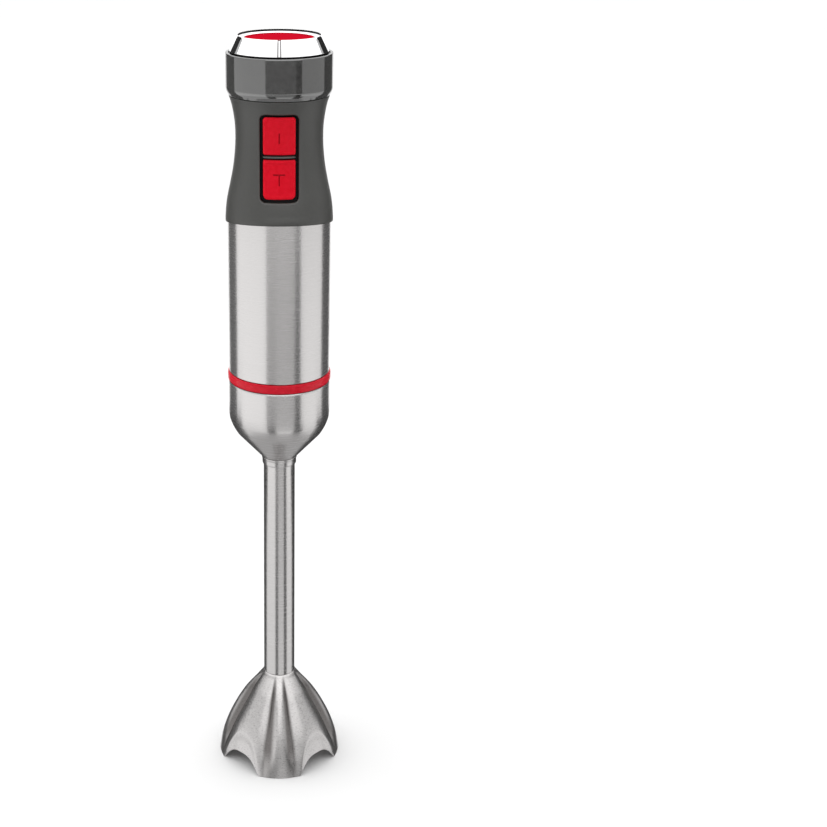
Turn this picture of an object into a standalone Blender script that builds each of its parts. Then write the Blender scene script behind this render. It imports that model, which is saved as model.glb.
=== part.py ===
"""Hand-held immersion blender with a detachable steel foot, as separate parts.

The model stands on the four feet of its bell, with the origin at the centre of
the rim plane, +Z up and the buttons facing -Y. Sizes are in millimetres, and
the mesh functions turn them into metres.
"""

from math import asin, atan2, cos, degrees, hypot, pi, radians, sin

import bmesh
import bpy

MM = 0.001

# Driving dimensions
HEIGHT = 400.0
GAP = 0.3
RUNNING = 0.15
SHELL_SEGMENTS = 28
INNER_SEGMENTS = 16
SMALL_SEGMENTS = 12

BELL_WALL = 1.0
BELL_TOP = 50.6
SCALLOP_HEIGHT = 9.3
SCALLOP_BLEND = 26.0
FOOT_HALF_ANGLE = 20.5
VALLEY_ANGLE = 15.5
TUBE_RADIUS = 8.45
TUBE_WALL = 0.75
STEEL_WALL = 0.8
HOUSING_RADIUS = 26.1
HOUSING_TOP = 313.2
HOUSING_BOTTOM = 229.2
RING_TOP = 228.9
RING_BOTTOM = 224.3
RING_RADIUS = 26.8
FOOT_TOP = 223.9
CONE_BOTTOM = 180.9
GRIP_TOP = 372.7
GRIP_WALL = 1.8
LIP_HEIGHT = 308.0
LIP_RISE = 3.7
COLLAR_TOP = 391.8
COLLAR_BOTTOM = 373.0
COLLAR_RADIUS = 26.3
CORD_HEIGHT = 381.0

SHAFT_RADIUS = 2.5
DRIVE_RADIUS = 2.0
MOTOR_MIDDLE = 272.0
STACK_HALF = 15.0
SCREW_CIRCLE = 22.5

WINDOW_HALF_WIDTH = 9.5
WINDOW_LOW = 322.6
WINDOW_HIGH = 365.2
BUTTON_HALF_WIDTH = 7.85
ON_BUTTON = (345.7, 363.9)
TURBO_BUTTON = (324.6, 343.2)
CHASSIS_RADIUS = 19.4
CHASSIS_WALL = 1.6
BOARD_BACK = -0.2
BOARD_FRONT = -1.8
SCREW_HEIGHTS = {"lower": 319.6, "upper": 367.6}
PILOT_RADIUS = 1.75

# The bayonet: three lugs on the motor unit turn in channels of the foot socket
LUG_COUNT = 3
LUG_ANGLE = 90.0
LUG_HALF_ANGLE = 9.0
TWIST = 20.0

# Height and radius along the outside of the grip, from its lip to its top
GRIP_PROFILE = (
    (305.0, 27.05),
    (312.0, 26.98),
    (320.0, 26.13),
    (327.9, 24.48),
    (335.9, 22.95),
    (343.0, 22.10),
    (350.0, 21.72),
    (357.0, 21.90),
    (363.7, 22.80),
    (368.6, 23.93),
    (372.7, 25.45),
)

# Height and radius along a rib of the bell, from its rim to its neck
BELL_PROFILE = (
    (0.0, 33.70),
    (10.1, 31.95),
    (20.6, 28.60),
    (31.1, 23.65),
    (39.0, 18.80),
    (44.1, 14.60),
    (49.3, 9.60),
    (50.6, 8.45),
)

# Height, and how far the bell's sheet lies inside its ribs, beside a rib and between two
VALLEY_DEPTHS = (
    (0.0, 0.3),
    (8.0, 1.4),
    (16.0, 2.8),
    (33.0, 3.9),
    (43.0, 2.3),
    (49.3, 0.4),
    (50.6, 0.0),
)
PANEL_DEPTHS = (
    (0.0, 0.1),
    (8.0, 0.4),
    (16.0, 0.9),
    (33.0, 2.0),
    (43.0, 1.3),
    (49.3, 0.2),
    (50.6, 0.0),
)

# Radius and height along the outside of the foot shell
FOOT_PROFILE = (
    (26.3, FOOT_TOP),
    (26.4, 209.5),
    (26.1, 203.7),
    (25.5, 201.5),
    (24.6, 199.2),
    (23.4, 196.9),
    (21.9, 194.6),
    (9.4, CONE_BOTTOM),
)

# Colour, metallic and roughness of each kind of surface
FINISHES = {
    "chrome": ((0.82, 0.82, 0.84), 1.0, 0.06),
    "brushed_steel": ((0.56, 0.55, 0.54), 1.0, 0.32),
    "bearing_steel": ((0.50, 0.50, 0.52), 1.0, 0.22),
    "laminated_iron": ((0.22, 0.22, 0.24), 0.9, 0.45),
    "copper": ((0.72, 0.33, 0.16), 1.0, 0.34),
    "brass": ((0.78, 0.58, 0.25), 1.0, 0.30),
    "aluminium": ((0.75, 0.76, 0.78), 1.0, 0.38),
    "carbon": ((0.04, 0.04, 0.04), 0.1, 0.60),
    "red_plastic": ((0.70, 0.01, 0.03), 0.0, 0.32),
    "gloss_grey": ((0.10, 0.10, 0.10), 0.0, 0.12),
    "soft_grey": ((0.13, 0.13, 0.12), 0.0, 0.62),
    "black_plastic": ((0.02, 0.02, 0.02), 0.0, 0.45),
    "white_plastic": ((0.80, 0.79, 0.75), 0.0, 0.40),
    "circuit_board": ((0.05, 0.22, 0.10), 0.0, 0.45),
    "capacitor_yellow": ((0.80, 0.62, 0.08), 0.0, 0.35),
    "black_rubber": ((0.02, 0.02, 0.02), 0.0, 0.75),
}


# ---------------------------------------------------------------- mesh tools


def clear_scene():
    for obj in list(bpy.data.objects):
        bpy.data.objects.remove(obj)


def make_material(name, finish):
    colour, metallic, roughness = FINISHES[finish]
    material = bpy.data.materials.new(name + "_" + finish)
    material.use_nodes = True
    shader = material.node_tree.nodes["Principled BSDF"]
    shader.inputs["Base Color"].default_value = (*colour, 1.0)
    shader.inputs["Metallic"].default_value = metallic
    shader.inputs["Roughness"].default_value = roughness
    material.diffuse_color = (*colour, 1.0)
    return material


def object_from(name, bm, finish):
    """Writes the mesh in millimetres to a new object in metres, shaded smooth."""
    bmesh.ops.recalc_face_normals(bm, faces=bm.faces)
    bmesh.ops.scale(bm, vec=(MM, MM, MM), verts=bm.verts)
    mesh = bpy.data.meshes.new(name)
    bm.to_mesh(mesh)
    bm.free()
    mesh.shade_smooth()
    mesh.set_sharp_from_angle(angle=radians(35))
    obj = bpy.data.objects.new(name, mesh)
    bpy.context.scene.collection.objects.link(obj)
    mesh.materials.append(make_material(name, finish))
    return obj


def skin(bm, rings, closed):
    """Faces between rings of points, where a ring of one point is a tip."""
    made = [[bm.verts.new(point) for point in ring] for ring in rings]
    pairs = list(zip(made, made[1:]))
    if closed:
        pairs.append((made[-1], made[0]))
    for first, second in pairs:
        count = max(len(first), len(second))
        if count == 1:
            continue
        for i in range(count):
            j = (i + 1) % count
            corners = [first[i % len(first)], first[j % len(first)]]
            corners += [second[j % len(second)], second[i % len(second)]]
            bm.faces.new(list(dict.fromkeys(corners)))
    return made


def on_axis(radius, height, angle, axis):
    """A point at a radius and height from the axis, Z or Y."""
    if axis == "Y":
        return (radius * cos(angle), height, -radius * sin(angle))
    return (radius * cos(angle), radius * sin(angle), height)


def turned(name, profile, finish, segments=SHELL_SEGMENTS, axis="Z", centre=(0, 0, 0)):
    """A closed profile of (radius, height) turned all the way round an axis."""
    bm = bmesh.new()
    rings = []
    for radius, height in profile:
        count = segments if radius > 0 else 1
        angles = [2 * pi * i / segments for i in range(count)]
        rings.append([on_axis(radius, height, a, axis) for a in angles])
    skin(bm, rings, closed=True)
    bmesh.ops.translate(bm, vec=centre, verts=bm.verts)
    return object_from(name, bm, finish)


def sector(name, profile, finish, start, end, steps):
    """A closed profile of (radius, height) turned from one angle to another, in degrees."""
    bm = bmesh.new()
    angles = [radians(start + (end - start) * i / steps) for i in range(steps + 1)]
    slices = [[on_axis(r, z, a, "Z") for r, z in profile] for a in angles]
    made = skin(bm, slices, closed=False)
    bm.faces.new(made[0])
    bm.faces.new(made[-1])
    return object_from(name, bm, finish)


def prism(name, outline, finish, low, high):
    """An outline of (x, y) raised from one height to another."""
    bm = bmesh.new()
    rings = [[(x, y, z) for x, y in outline] for z in (low, high)]
    made = skin(bm, rings, closed=False)
    bm.faces.new(made[0])
    bm.faces.new(made[-1])
    return object_from(name, bm, finish)


def plate(name, outlines, finish, low, high):
    """A flat piece with holes: the first outline is its edge, and the others are holes."""
    curve = bpy.data.curves.new(name, "CURVE")
    curve.dimensions = "2D"
    curve.fill_mode = "BOTH"
    curve.extrude = (high - low) / 2 * MM
    for outline in outlines:
        spline = curve.splines.new("POLY")
        spline.points.add(len(outline) - 1)
        for point, (x, y) in zip(spline.points, outline):
            point.co = (x * MM, y * MM, 0, 1)
        spline.use_cyclic_u = True
    obj = bpy.data.objects.new(name, curve)
    obj.location = (0, 0, (high + low) / 2 * MM)
    bpy.context.scene.collection.objects.link(obj)
    curve.materials.append(make_material(name, finish))
    return obj


def block(name, low, high, finish, bevel=0.0):
    """A box between two corners, with rounded edges."""
    bm = bmesh.new()
    bmesh.ops.create_cube(bm, size=1)
    sides = [b - a for a, b in zip(low, high)]
    middle = [(a + b) / 2 for a, b in zip(low, high)]
    bmesh.ops.scale(bm, vec=sides, verts=bm.verts)
    bmesh.ops.translate(bm, vec=middle, verts=bm.verts)
    if bevel:
        bmesh.ops.bevel(
            bm, geom=bm.edges, offset=bevel, segments=2, profile=0.5, affect="EDGES"
        )
    return object_from(name, bm, finish)


def rounded_opening(name, half_width, low, high, corner, front, back):
    """A cutter through the front: a rounded rectangle in X and Z, pushed along Y."""
    bm = bmesh.new()
    outline = []
    steps = 3
    corners = (
        (half_width - corner, high - corner, 0),
        (corner - half_width, high - corner, 90),
        (corner - half_width, low + corner, 180),
        (half_width - corner, low + corner, 270),
    )
    for x, z, start in corners:
        for i in range(steps + 1):
            angle = radians(start + 90 * i / steps)
            outline.append((x + corner * cos(angle), z + corner * sin(angle)))
    rings = [[(x, y, z) for x, z in outline] for y in (front, back)]
    made = skin(bm, rings, closed=False)
    bm.faces.new(made[0])
    bm.faces.new(made[-1])
    return object_from(name, bm, "black_plastic")


def combine(obj, other, operation):
    """Applies a Boolean of a hidden helper to the object."""
    other.hide_render = True
    other.hide_viewport = True
    other.display_type = "WIRE"
    modifier = obj.modifiers.new(operation.lower() + "_" + other.name, "BOOLEAN")
    modifier.operation = operation
    modifier.object = other
    modifier.solver = "EXACT"
    return obj


def curve_through(points, height):
    """A smooth radius at a height, through points of (height, radius)."""
    index = 0
    while index < len(points) - 2 and height > points[index + 1][0]:
        index += 1
    (z1, r1), (z2, r2) = points[index], points[index + 1]
    z0, r0 = points[max(index - 1, 0)]
    z3, r3 = points[min(index + 2, len(points) - 1)]
    slope1 = (r2 - r0) / (z2 - z0)
    slope2 = (r3 - r1) / (z3 - z1)
    span = z2 - z1
    t = min(max((height - z1) / span, 0.0), 1.0)
    h00 = 2 * t**3 - 3 * t**2 + 1
    h10 = t**3 - 2 * t**2 + t
    h01 = 3 * t**2 - 2 * t**3
    h11 = t**3 - t**2
    return h00 * r1 + h10 * span * slope1 + h01 * r2 + h11 * span * slope2


def circle(radius, count, centre=(0.0, 0.0), start=0.0):
    """Points of (x, y) round a centre."""
    angles = [start + 2 * pi * i / count for i in range(count)]
    return [(centre[0] + radius * cos(a), centre[1] + radius * sin(a)) for a in angles]


def arc(radius, start, end, steps):
    """Points of (x, y) along an arc about the origin, in degrees."""
    angles = [radians(start + (end - start) * i / steps) for i in range(steps + 1)]
    return [(radius * cos(a), radius * sin(a)) for a in angles]


# ---------------------------------------------------------------- speed dial


def speed_dial():
    ring = turned(
        "dial_ring",
        (
            (24.2, 391.1), (24.4, 391.6), (20.9, 399.1), (20.6, 399.75), (20.1, HEIGHT),
            (19.7, 399.8), (17.1, 398.7), (17.1, 397.0), (15.0, 397.0), (15.0, 395.6),
            (20.6, 395.6), (22.7, 391.1),
        ),
        "chrome",
    )
    insert = turned(
        "dial_insert",
        ((0, 397.3), (16.8, 397.3), (16.8, 398.4), (16.5, 398.7), (0, 398.7)),
        "red_plastic",
        segments=24,
    )
    hub = turned(
        "dial_hub",
        (
            (0, 397.0), (14.7, 397.0), (14.7, 395.3), (20.2, 395.3), (20.2, 393.6),
            (5.0, 393.6), (5.0, 384.6), (3.2, 384.6), (3.2, 394.4), (0, 394.4),
        ),
        "black_plastic",
        segments=INNER_SEGMENTS,
    )
    shaft = turned(
        "dial_shaft",
        ((0, 373.6), (2.95, 373.6), (2.95, 393.5), (2.5, 393.9), (0, 393.9)),
        "aluminium",
        segments=SMALL_SEGMENTS,
    )
    return [ring, insert, hub, shaft]


def potentiometer():
    return turned(
        "potentiometer",
        (
            (0, 370.7), (8.0, 370.7), (8.0, 378.0), (4.2, 378.0), (4.2, 383.6),
            (3.2, 383.6), (3.2, 373.2), (0, 373.2),
        ),
        "bearing_steel",
        segments=INNER_SEGMENTS,
    )


# -------------------------------------------------------------------- collar


def top_collar():
    collar = turned(
        "top_collar",
        (
            (25.9, COLLAR_TOP), (COLLAR_RADIUS, 391.4), (COLLAR_RADIUS, 374.6),
            (25.6, COLLAR_BOTTOM), (24.0, COLLAR_BOTTOM), (24.0, 388.6), (5.4, 388.6),
            (5.4, 390.6), (24.8, 390.6), (24.8, COLLAR_TOP),
        ),
        "gloss_grey",
    )
    inlet = turned(
        "cord_inlet_cutter",
        ((0, 18.0), (6.2, 18.0), (6.2, 32.0), (0, 32.0)),
        "black_rubber",
        segments=INNER_SEGMENTS,
        axis="Y",
        centre=(0, 0, CORD_HEIGHT),
    )
    combine(collar, inlet, "DIFFERENCE")
    for offset in (24, 33, 42, -24, -33, -42):
        slot = sector(
            "vent_cutter_" + str(offset),
            ((22.0, 377.0), (28.0, 377.0), (28.0, 386.5), (22.0, 386.5)),
            "black_plastic",
            90 + offset - 1.8,
            90 + offset + 1.8,
            1,
        )
        combine(collar, slot, "DIFFERENCE")
    return collar


def cord_gland():
    return turned(
        "cord_gland",
        (
            (3.7, 20.0), (7.2, 20.0), (7.2, 21.4), (5.9, 21.4), (5.9, 28.6), (5.3, 29.4),
            (3.7, 29.4),
        ),
        "black_rubber",
        segments=INNER_SEGMENTS,
        axis="Y",
        centre=(0, 0, CORD_HEIGHT),
    )


# ---------------------------------------------------------------------- grip


def grip_radius(height):
    return curve_through(GRIP_PROFILE, height)


def lip_at(angle, raised):
    """The lip rises towards the buttons, which face -Y."""
    return LIP_HEIGHT - LIP_RISE * sin(angle) + raised


def handle_grip():
    bm = bmesh.new()
    angles = [2 * pi * i / SHELL_SEGMENTS for i in range(SHELL_SEGMENTS)]
    rings = []
    for height in (GRIP_TOP, 369.5, 365.0, 359.0, 352.0, 345.0, 338.0, 331.0, 324.5, 318.0):
        radius = grip_radius(height)
        rings.append([on_axis(radius, height, a, "Z") for a in angles])
    lip_radius = GRIP_PROFILE[0][1]
    for radius, raised in ((lip_radius, 0.6), (lip_radius - 0.3, 0.0), (26.4, 0.0)):
        rings.append([on_axis(radius, lip_at(a, raised), a, "Z") for a in angles])
    seat = HOUSING_TOP + GAP
    for height in (seat, seat + 0.01, 323.0, 332.0, 341.0, 351.0, 362.0, GRIP_TOP):
        radius = 26.4 if height == seat else grip_radius(height) - GRIP_WALL
        rings.append([on_axis(radius, height, a, "Z") for a in angles])
    skin(bm, rings, closed=True)
    grip = object_from("handle_grip", bm, "soft_grey")
    window = rounded_opening(
        "window_cutter", WINDOW_HALF_WIDTH, WINDOW_LOW, WINDOW_HIGH, 2.5, -30.0, -12.0
    )
    return combine(grip, window, "DIFFERENCE")


# ------------------------------------------------------------------- buttons


def curved_slab(name, offset, back, low, high, finish):
    """A slab whose front follows the grip at an offset, and whose back has one radius."""
    bm = bmesh.new()
    heights = [low + (high - low) * i / 4 for i in range(5)]
    spread = [radians(-90 + a) for a in (-32, -20, -10, 0, 10, 20, 32)]
    rings = []
    for height in heights:
        outside = [on_axis(grip_radius(height) + offset, height, a, "Z") for a in spread]
        inside = [on_axis(back, height, a, "Z") for a in reversed(spread)]
        rings.append(outside + inside)
    made = skin(bm, rings, closed=False)
    bm.faces.new(made[0])
    bm.faces.new(made[-1])
    return object_from(name, bm, finish)


def button_bezel():
    low, high = WINDOW_LOW, WINDOW_HIGH
    bezel = curved_slab("button_bezel", -1.0, 17.9, low - 2, high + 2, "black_plastic")
    edge = rounded_opening(
        "bezel_edge", WINDOW_HALF_WIDTH - GAP, low + GAP, high - GAP, 2.3, -30.0, -12.0
    )
    combine(bezel, edge, "INTERSECT")
    for label, (low, high) in (("on", ON_BUTTON), ("turbo", TURBO_BUTTON)):
        hole = rounded_opening(
            "bezel_hole_" + label,
            BUTTON_HALF_WIDTH + GAP,
            low - GAP,
            high + GAP,
            1.6,
            -31.0,
            -11.0,
        )
        combine(bezel, hole, "DIFFERENCE")
    low = TURBO_BUTTON[1] + GAP
    high = ON_BUTTON[0] - GAP
    groove = block(
        "divider_groove", (-8.3, -30.0, low + 0.2), (8.3, -20.4, high - 0.2), "black_plastic"
    )
    return combine(bezel, groove, "DIFFERENCE")


def button_divider():
    """The bar between the two buttons."""
    low = TURBO_BUTTON[1] + 0.7
    high = ON_BUTTON[0] - 0.7
    bar = curved_slab("button_divider", 0.1, 17.0, low, high, "soft_grey")
    limits = block("divider_limits", (-8.0, -30.0, low - 1), (8.0, -20.7, high + 1), "soft_grey")
    return combine(bar, limits, "INTERSECT")


def push_button(name, low, high):
    """A cap that follows the grip, with a stem that reaches the switch behind it."""
    cap = curved_slab(name, 0.35, 16.5, low - 1, high + 1, "red_plastic")
    edge = rounded_opening(name + "_edge", BUTTON_HALF_WIDTH, low, high, 1.5, -30.0, -18.6)
    combine(cap, edge, "INTERSECT")
    middle = (low + high) / 2
    stem = block(
        name + "_stem", (-2.6, -19.5, middle - 3), (2.6, -14.6, middle + 3), "red_plastic"
    )
    return combine(cap, stem, "UNION")


# ------------------------------------------------------------ handle inside


def boss(name, front, back, height, radius, segments=SMALL_SEGMENTS):
    return turned(
        name,
        ((0, front), (radius, front), (radius, back), (0, back)),
        "black_plastic",
        segments=segments,
        axis="Y",
        centre=(0, 0, height),
    )


def chassis_half(name, start, end, side):
    """Half of the clamshell that carries the board, with a screw boss at each end."""
    inner = CHASSIS_RADIUS - CHASSIS_WALL
    half = sector(
        name,
        (
            (24.4, 314.0), (24.4, 316.0), (CHASSIS_RADIUS, 316.0), (CHASSIS_RADIUS, 370.4),
            (5.0, 370.4), (5.0, 368.4), (inner, 368.4), (inner, 314.0),
        ),
        "black_plastic",
        start,
        end,
        SMALL_SEGMENTS,
    )
    for place, height in SCREW_HEIGHTS.items():
        near, far = sorted((0.4 * side, (inner + 0.6) * side))
        combine(half, boss(name + "_boss_" + place, near, far, height, 2.8), "UNION")
    return half


def chassis():
    front = chassis_half("chassis_front", 180.5, 359.5, -1)
    rear = chassis_half("chassis_rear", 0.5, 179.5, 1)
    window = rounded_opening(
        "chassis_window", WINDOW_HALF_WIDTH + 0.4, WINDOW_LOW, WINDOW_HIGH, 1.5, -30.0, -14.0
    )
    combine(front, window, "DIFFERENCE")
    screws = []
    for place, height in SCREW_HEIGHTS.items():
        pilot = boss("front_pilot_" + place, -13.0, 2.0, height, PILOT_RADIUS, 14)
        combine(front, pilot, "DIFFERENCE")
        sink = turned(
            "rear_sink_" + place,
            (
                (0, -2.0), (PILOT_RADIUS, -2.0), (PILOT_RADIUS, 14.0), (2.3, 14.0),
                (2.3, 22.0), (0, 22.0),
            ),
            "black_plastic",
            segments=14,
            axis="Y",
            centre=(0, 0, height),
        )
        combine(rear, sink, "DIFFERENCE")
        screws.append(
            turned(
                "chassis_screw_" + place,
                ((0, -12.5), (1.4, -12.5), (1.4, 14.3), (2.0, 14.3), (2.0, 16.2), (0, 16.2)),
                "bearing_steel",
                segments=SMALL_SEGMENTS,
                axis="Y",
                centre=(0, 0, height),
            )
        )
    return [front, rear, *screws]


def control_board():
    return block(
        "control_board", (-15.0, BOARD_FRONT, 324.0), (15.0, BOARD_BACK, 362.0), "circuit_board"
    )


def micro_switch(name, button):
    """A switch body on the board with a plunger on its front."""
    middle = sum(button) / 2
    front = BOARD_FRONT - GAP - 10.0
    body = block(
        name,
        (-6.4, front, middle - 3.5),
        (6.4, BOARD_FRONT - GAP, middle + 3.5),
        "black_plastic",
        0.4,
    )
    plunger = block(
        name + "_plunger",
        (-1.5, front - 0.6, middle - 1.5),
        (1.5, front + 1, middle + 1.5),
        "red_plastic",
    )
    return combine(body, plunger, "UNION")


def suppression_capacitor():
    return block(
        "suppression_capacitor", (-9.0, 0.1, 326.0), (9.0, 9.6, 341.0), "capacitor_yellow", 0.8
    )


def triac_heat_sink():
    """A comb of fins on a base plate."""
    half, base, tip = 10.0, 2.1, 11.5
    fins, fin = 5, 1.5
    pitch = (2 * half - fin) / (fins - 1)
    outline = [(-half, 0.1), (half, 0.1)]
    for i in range(fins):
        right = half - i * pitch
        if i > 0:
            outline.append((right, base))
        outline += [(right, tip), (right - fin, tip)]
        if i < fins - 1:
            outline.append((right - fin, base))
    return prism("triac_heat_sink", outline, "aluminium", 345.5, 361.0)


# --------------------------------------------------------------------- motor


def motor_housing():
    inner = HOUSING_RADIUS - STEEL_WALL
    return turned(
        "motor_housing",
        (
            (HOUSING_RADIUS, HOUSING_TOP), (HOUSING_RADIUS, HOUSING_BOTTOM),
            (inner, HOUSING_BOTTOM), (inner, HOUSING_TOP),
        ),
        "brushed_steel",
    )


def trim_ring():
    return turned(
        "trim_ring",
        (
            (26.4, RING_TOP), (RING_RADIUS, RING_TOP - 0.7), (RING_RADIUS, RING_BOTTOM + 0.7),
            (26.4, RING_BOTTOM), (25.3, RING_BOTTOM), (25.3, RING_TOP),
        ),
        "red_plastic",
    )


def screw_holes(target, profile, label):
    """Cuts a turned profile of (radius, height) at each stator screw."""
    for side, y in (("front", -SCREW_CIRCLE), ("back", SCREW_CIRCLE)):
        hole = turned(
            label + "_" + side,
            profile,
            "black_plastic",
            segments=14,
            centre=(0, y, 0),
        )
        combine(target, hole, "DIFFERENCE")


def motor_brackets():
    upper = turned(
        "motor_bracket_upper",
        (
            (25.0, 313.6), (25.0, 310.6), (8.6, 310.6), (8.6, 305.6), (6.8, 305.6),
            (6.8, 311.6), (3.2, 311.6), (3.2, 313.6),
        ),
        "black_plastic",
    )
    sunk = ((0, 308.0), (1.7, 308.0), (1.7, 311.7), (2.45, 311.7), (2.45, 316.0), (0, 316.0))
    screw_holes(upper, sunk, "upper_screw_hole")
    for i, (x, y) in enumerate(circle(16.0, 4, start=pi / 4), 1):
        vent = turned(
            "bracket_vent_" + str(i),
            ((0, 308.0), (3.5, 308.0), (3.5, 316.0), (0, 316.0)),
            "black_plastic",
            segments=SMALL_SEGMENTS,
            centre=(x, y, 0),
        )
        combine(upper, vent, "DIFFERENCE")
    lower = turned(
        "motor_bracket_lower",
        (
            (25.0, 238.6), (25.0, 224.6), (15.6, 224.6), (15.6, 213.0), (13.2, 213.0),
            (13.2, 226.6), (3.2, 226.6), (3.2, 229.0), (8.3, 229.0), (8.3, 234.6),
            (11.0, 234.6), (11.0, 231.0), (20.0, 231.0), (20.0, 238.6),
        ),
        "black_plastic",
    )
    screw_holes(lower, ((0, 230.0), (1.7, 230.0), (1.7, 242.0), (0, 242.0)), "lower_screw_hole")
    for i in range(LUG_COUNT):
        middle = LUG_ANGLE + 360 * i / LUG_COUNT
        lug = sector(
            "bayonet_lug_" + str(i + 1),
            ((15.0, 214.0), (17.2, 214.0), (17.2, 217.0), (15.0, 217.0)),
            "black_plastic",
            middle - LUG_HALF_ANGLE,
            middle + LUG_HALF_ANGLE,
            3,
        )
        combine(lower, lug, "UNION")
    return [upper, lower]


def stator_core():
    """Two poles face the armature along X, with room for a coil round each neck."""
    ring, back, bore, shoe, neck, spread = 24.4, 20.6, 12.3, 13.8, 7.0, 50.0
    behind_shoe = degrees(asin(neck / shoe))
    behind_ring = degrees(asin(neck / back))
    inside = []
    for turn in (0, 180):
        inside += arc(bore, turn - spread, turn + spread, 8)
        inside += arc(shoe, turn + spread, turn + behind_shoe, 2)
        inside += arc(back, turn + behind_ring, turn + 180 - behind_ring, 10)
        inside += arc(shoe, turn + 180 - behind_shoe, turn + 180 - spread, 2)
    holes = [circle(1.8, 12, (0, y)) for y in (-SCREW_CIRCLE, SCREW_CIRCLE)]
    low, high = MOTOR_MIDDLE - STACK_HALF, MOTOR_MIDDLE + STACK_HALF
    outlines = [circle(ring, SHELL_SEGMENTS), inside, *holes]
    return plate("stator_core", outlines, "laminated_iron", low, high)


def field_coil(name, side):
    """A flat loop of wire round the neck of one pole."""
    near, far = sorted((14.1 * side, 17.3 * side))
    low, high = MOTOR_MIDDLE - STACK_HALF - 3.6, MOTOR_MIDDLE + STACK_HALF + 3.6
    coil = block(name, (near, -10.4, low), (far, 10.4, high), "copper", 1.0)
    window = block(
        name + "_window", (near - 2, -7.3, low + 3.2), (far + 2, 7.3, high - 3.2), "copper"
    )
    return combine(coil, window, "DIFFERENCE")


def stator_screws():
    screws = []
    for side, y in (("front", -SCREW_CIRCLE), ("back", SCREW_CIRCLE)):
        screws.append(
            turned(
                "stator_screw_" + side,
                ((0, 313.3), (2.2, 313.3), (2.2, 311.9), (1.4, 311.9), (1.4, 231.0), (0, 231.0)),
                "bearing_steel",
                segments=12,
                centre=(0, y, 0),
            )
        )
    return screws


def brush_gear(side_name, side):
    """A carbon brush and the holder that guides it to the commutator."""
    near, far = sorted((9.2 * side, 21.0 * side))
    holder = block(
        "brush_holder_" + side_name, (near, -4.2, 296.3), (far, 4.2, 310.2), "brass", 0.4
    )
    guide = block(
        "brush_guide_" + side_name, (near - 2, -2.5, 297.2), (far + 2, 2.5, 302.8), "brass"
    )
    combine(holder, guide, "DIFFERENCE")
    tip, tail = sorted((7.9 * side, 18.0 * side))
    brush = block("brush_" + side_name, (tip, -2.2, 297.5), (tail, 2.2, 302.5), "carbon")
    return [holder, brush]


def bearing(name, radius, shaft, low, high):
    return turned(
        name,
        (
            (shaft + RUNNING, low), (radius - 0.3, low), (radius, low + 0.3), (radius, high - 0.3),
            (radius - 0.3, high), (shaft + RUNNING, high),
        ),
        "bearing_steel",
        segments=INNER_SEGMENTS,
    )


# --------------------------------------------------------------------- rotor


def armature_core():
    slots = 10
    pitch = 360.0 / slots
    outline = []
    for i in range(slots):
        middle = i * pitch
        outline += arc(11.6, middle - 0.36 * pitch, middle + 0.36 * pitch, 3)
        outline += arc(7.0, middle + 0.40 * pitch, middle + 0.60 * pitch, 1)
    hole = circle(SHAFT_RADIUS + RUNNING, SMALL_SEGMENTS)
    low, high = MOTOR_MIDDLE - STACK_HALF + 1, MOTOR_MIDDLE + STACK_HALF - 1
    return plate("armature_core", [outline, hole], "laminated_iron", low, high)


def winding_head(name, low, high):
    inner = SHAFT_RADIUS + RUNNING + 1.0
    return turned(
        name,
        (
            (inner, low), (8.6, low), (10.4, low + 1.8), (10.4, high - 1.8), (8.6, high),
            (inner, high),
        ),
        "copper",
        segments=20,
    )


def cooling_fan():
    """Straight blades on a disc, pulling air up through the motor."""
    outline = []
    blades = 9
    for i in range(blades):
        middle = 360.0 * i / blades
        outline += arc(5.5, middle - 12.0, middle - 7.0, 1)
        outline += arc(19.6, middle - 1.8, middle + 1.8, 1)
        outline += arc(5.5, middle + 7.0, middle + 12.0, 1)
    fan = prism("cooling_fan", outline, "black_plastic", 241.0, 248.0)
    disc = turned(
        "fan_disc",
        ((0, 240.4), (20.4, 240.4), (20.4, 241.6), (0, 241.6)),
        "black_plastic",
        segments=32,
    )
    combine(fan, disc, "UNION")
    bore = SHAFT_RADIUS + RUNNING
    hole = turned(
        "fan_bore",
        ((0, 238.0), (bore, 238.0), (bore, 250.0), (0, 250.0)),
        "black_plastic",
        segments=SMALL_SEGMENTS,
    )
    return combine(fan, hole, "DIFFERENCE")


def drive_dog():
    """The sleeve and flat tang at the lower end of the motor shaft."""
    bore = SHAFT_RADIUS + RUNNING
    dog = turned(
        "drive_dog",
        (
            (0, 214.2), (4.6, 214.2), (4.6, 221.0), (bore, 221.0), (bore, 216.0), (0, 216.0),
        ),
        "white_plastic",
        segments=SMALL_SEGMENTS,
    )
    tang = block("drive_tang", (-3.8, -1.2, 207.6), (3.8, 1.2, 215.0), "white_plastic")
    return combine(dog, tang, "UNION")


def rotor():
    shaft = turned(
        "motor_shaft",
        ((0, 216.4), (SHAFT_RADIUS, 216.4), (SHAFT_RADIUS, 310.8), (0, 310.8)),
        "bearing_steel",
        segments=SMALL_SEGMENTS,
    )
    commutator = turned(
        "commutator",
        (
            (SHAFT_RADIUS + RUNNING, 296.0), (8.6, 296.0), (8.6, 296.9), (7.5, 296.9),
            (7.5, 304.4), (SHAFT_RADIUS + RUNNING, 304.4),
        ),
        "copper",
        segments=INNER_SEGMENTS,
    )
    stack_low, stack_high = MOTOR_MIDDLE - STACK_HALF + 1, MOTOR_MIDDLE + STACK_HALF - 1
    return [
        shaft,
        armature_core(),
        winding_head("armature_winding_upper", stack_high + GAP, 295.4),
        winding_head("armature_winding_lower", 250.0, stack_low - GAP),
        commutator,
        cooling_fan(),
        drive_dog(),
    ]


# ---------------------------------------------------------------------- foot


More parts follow.
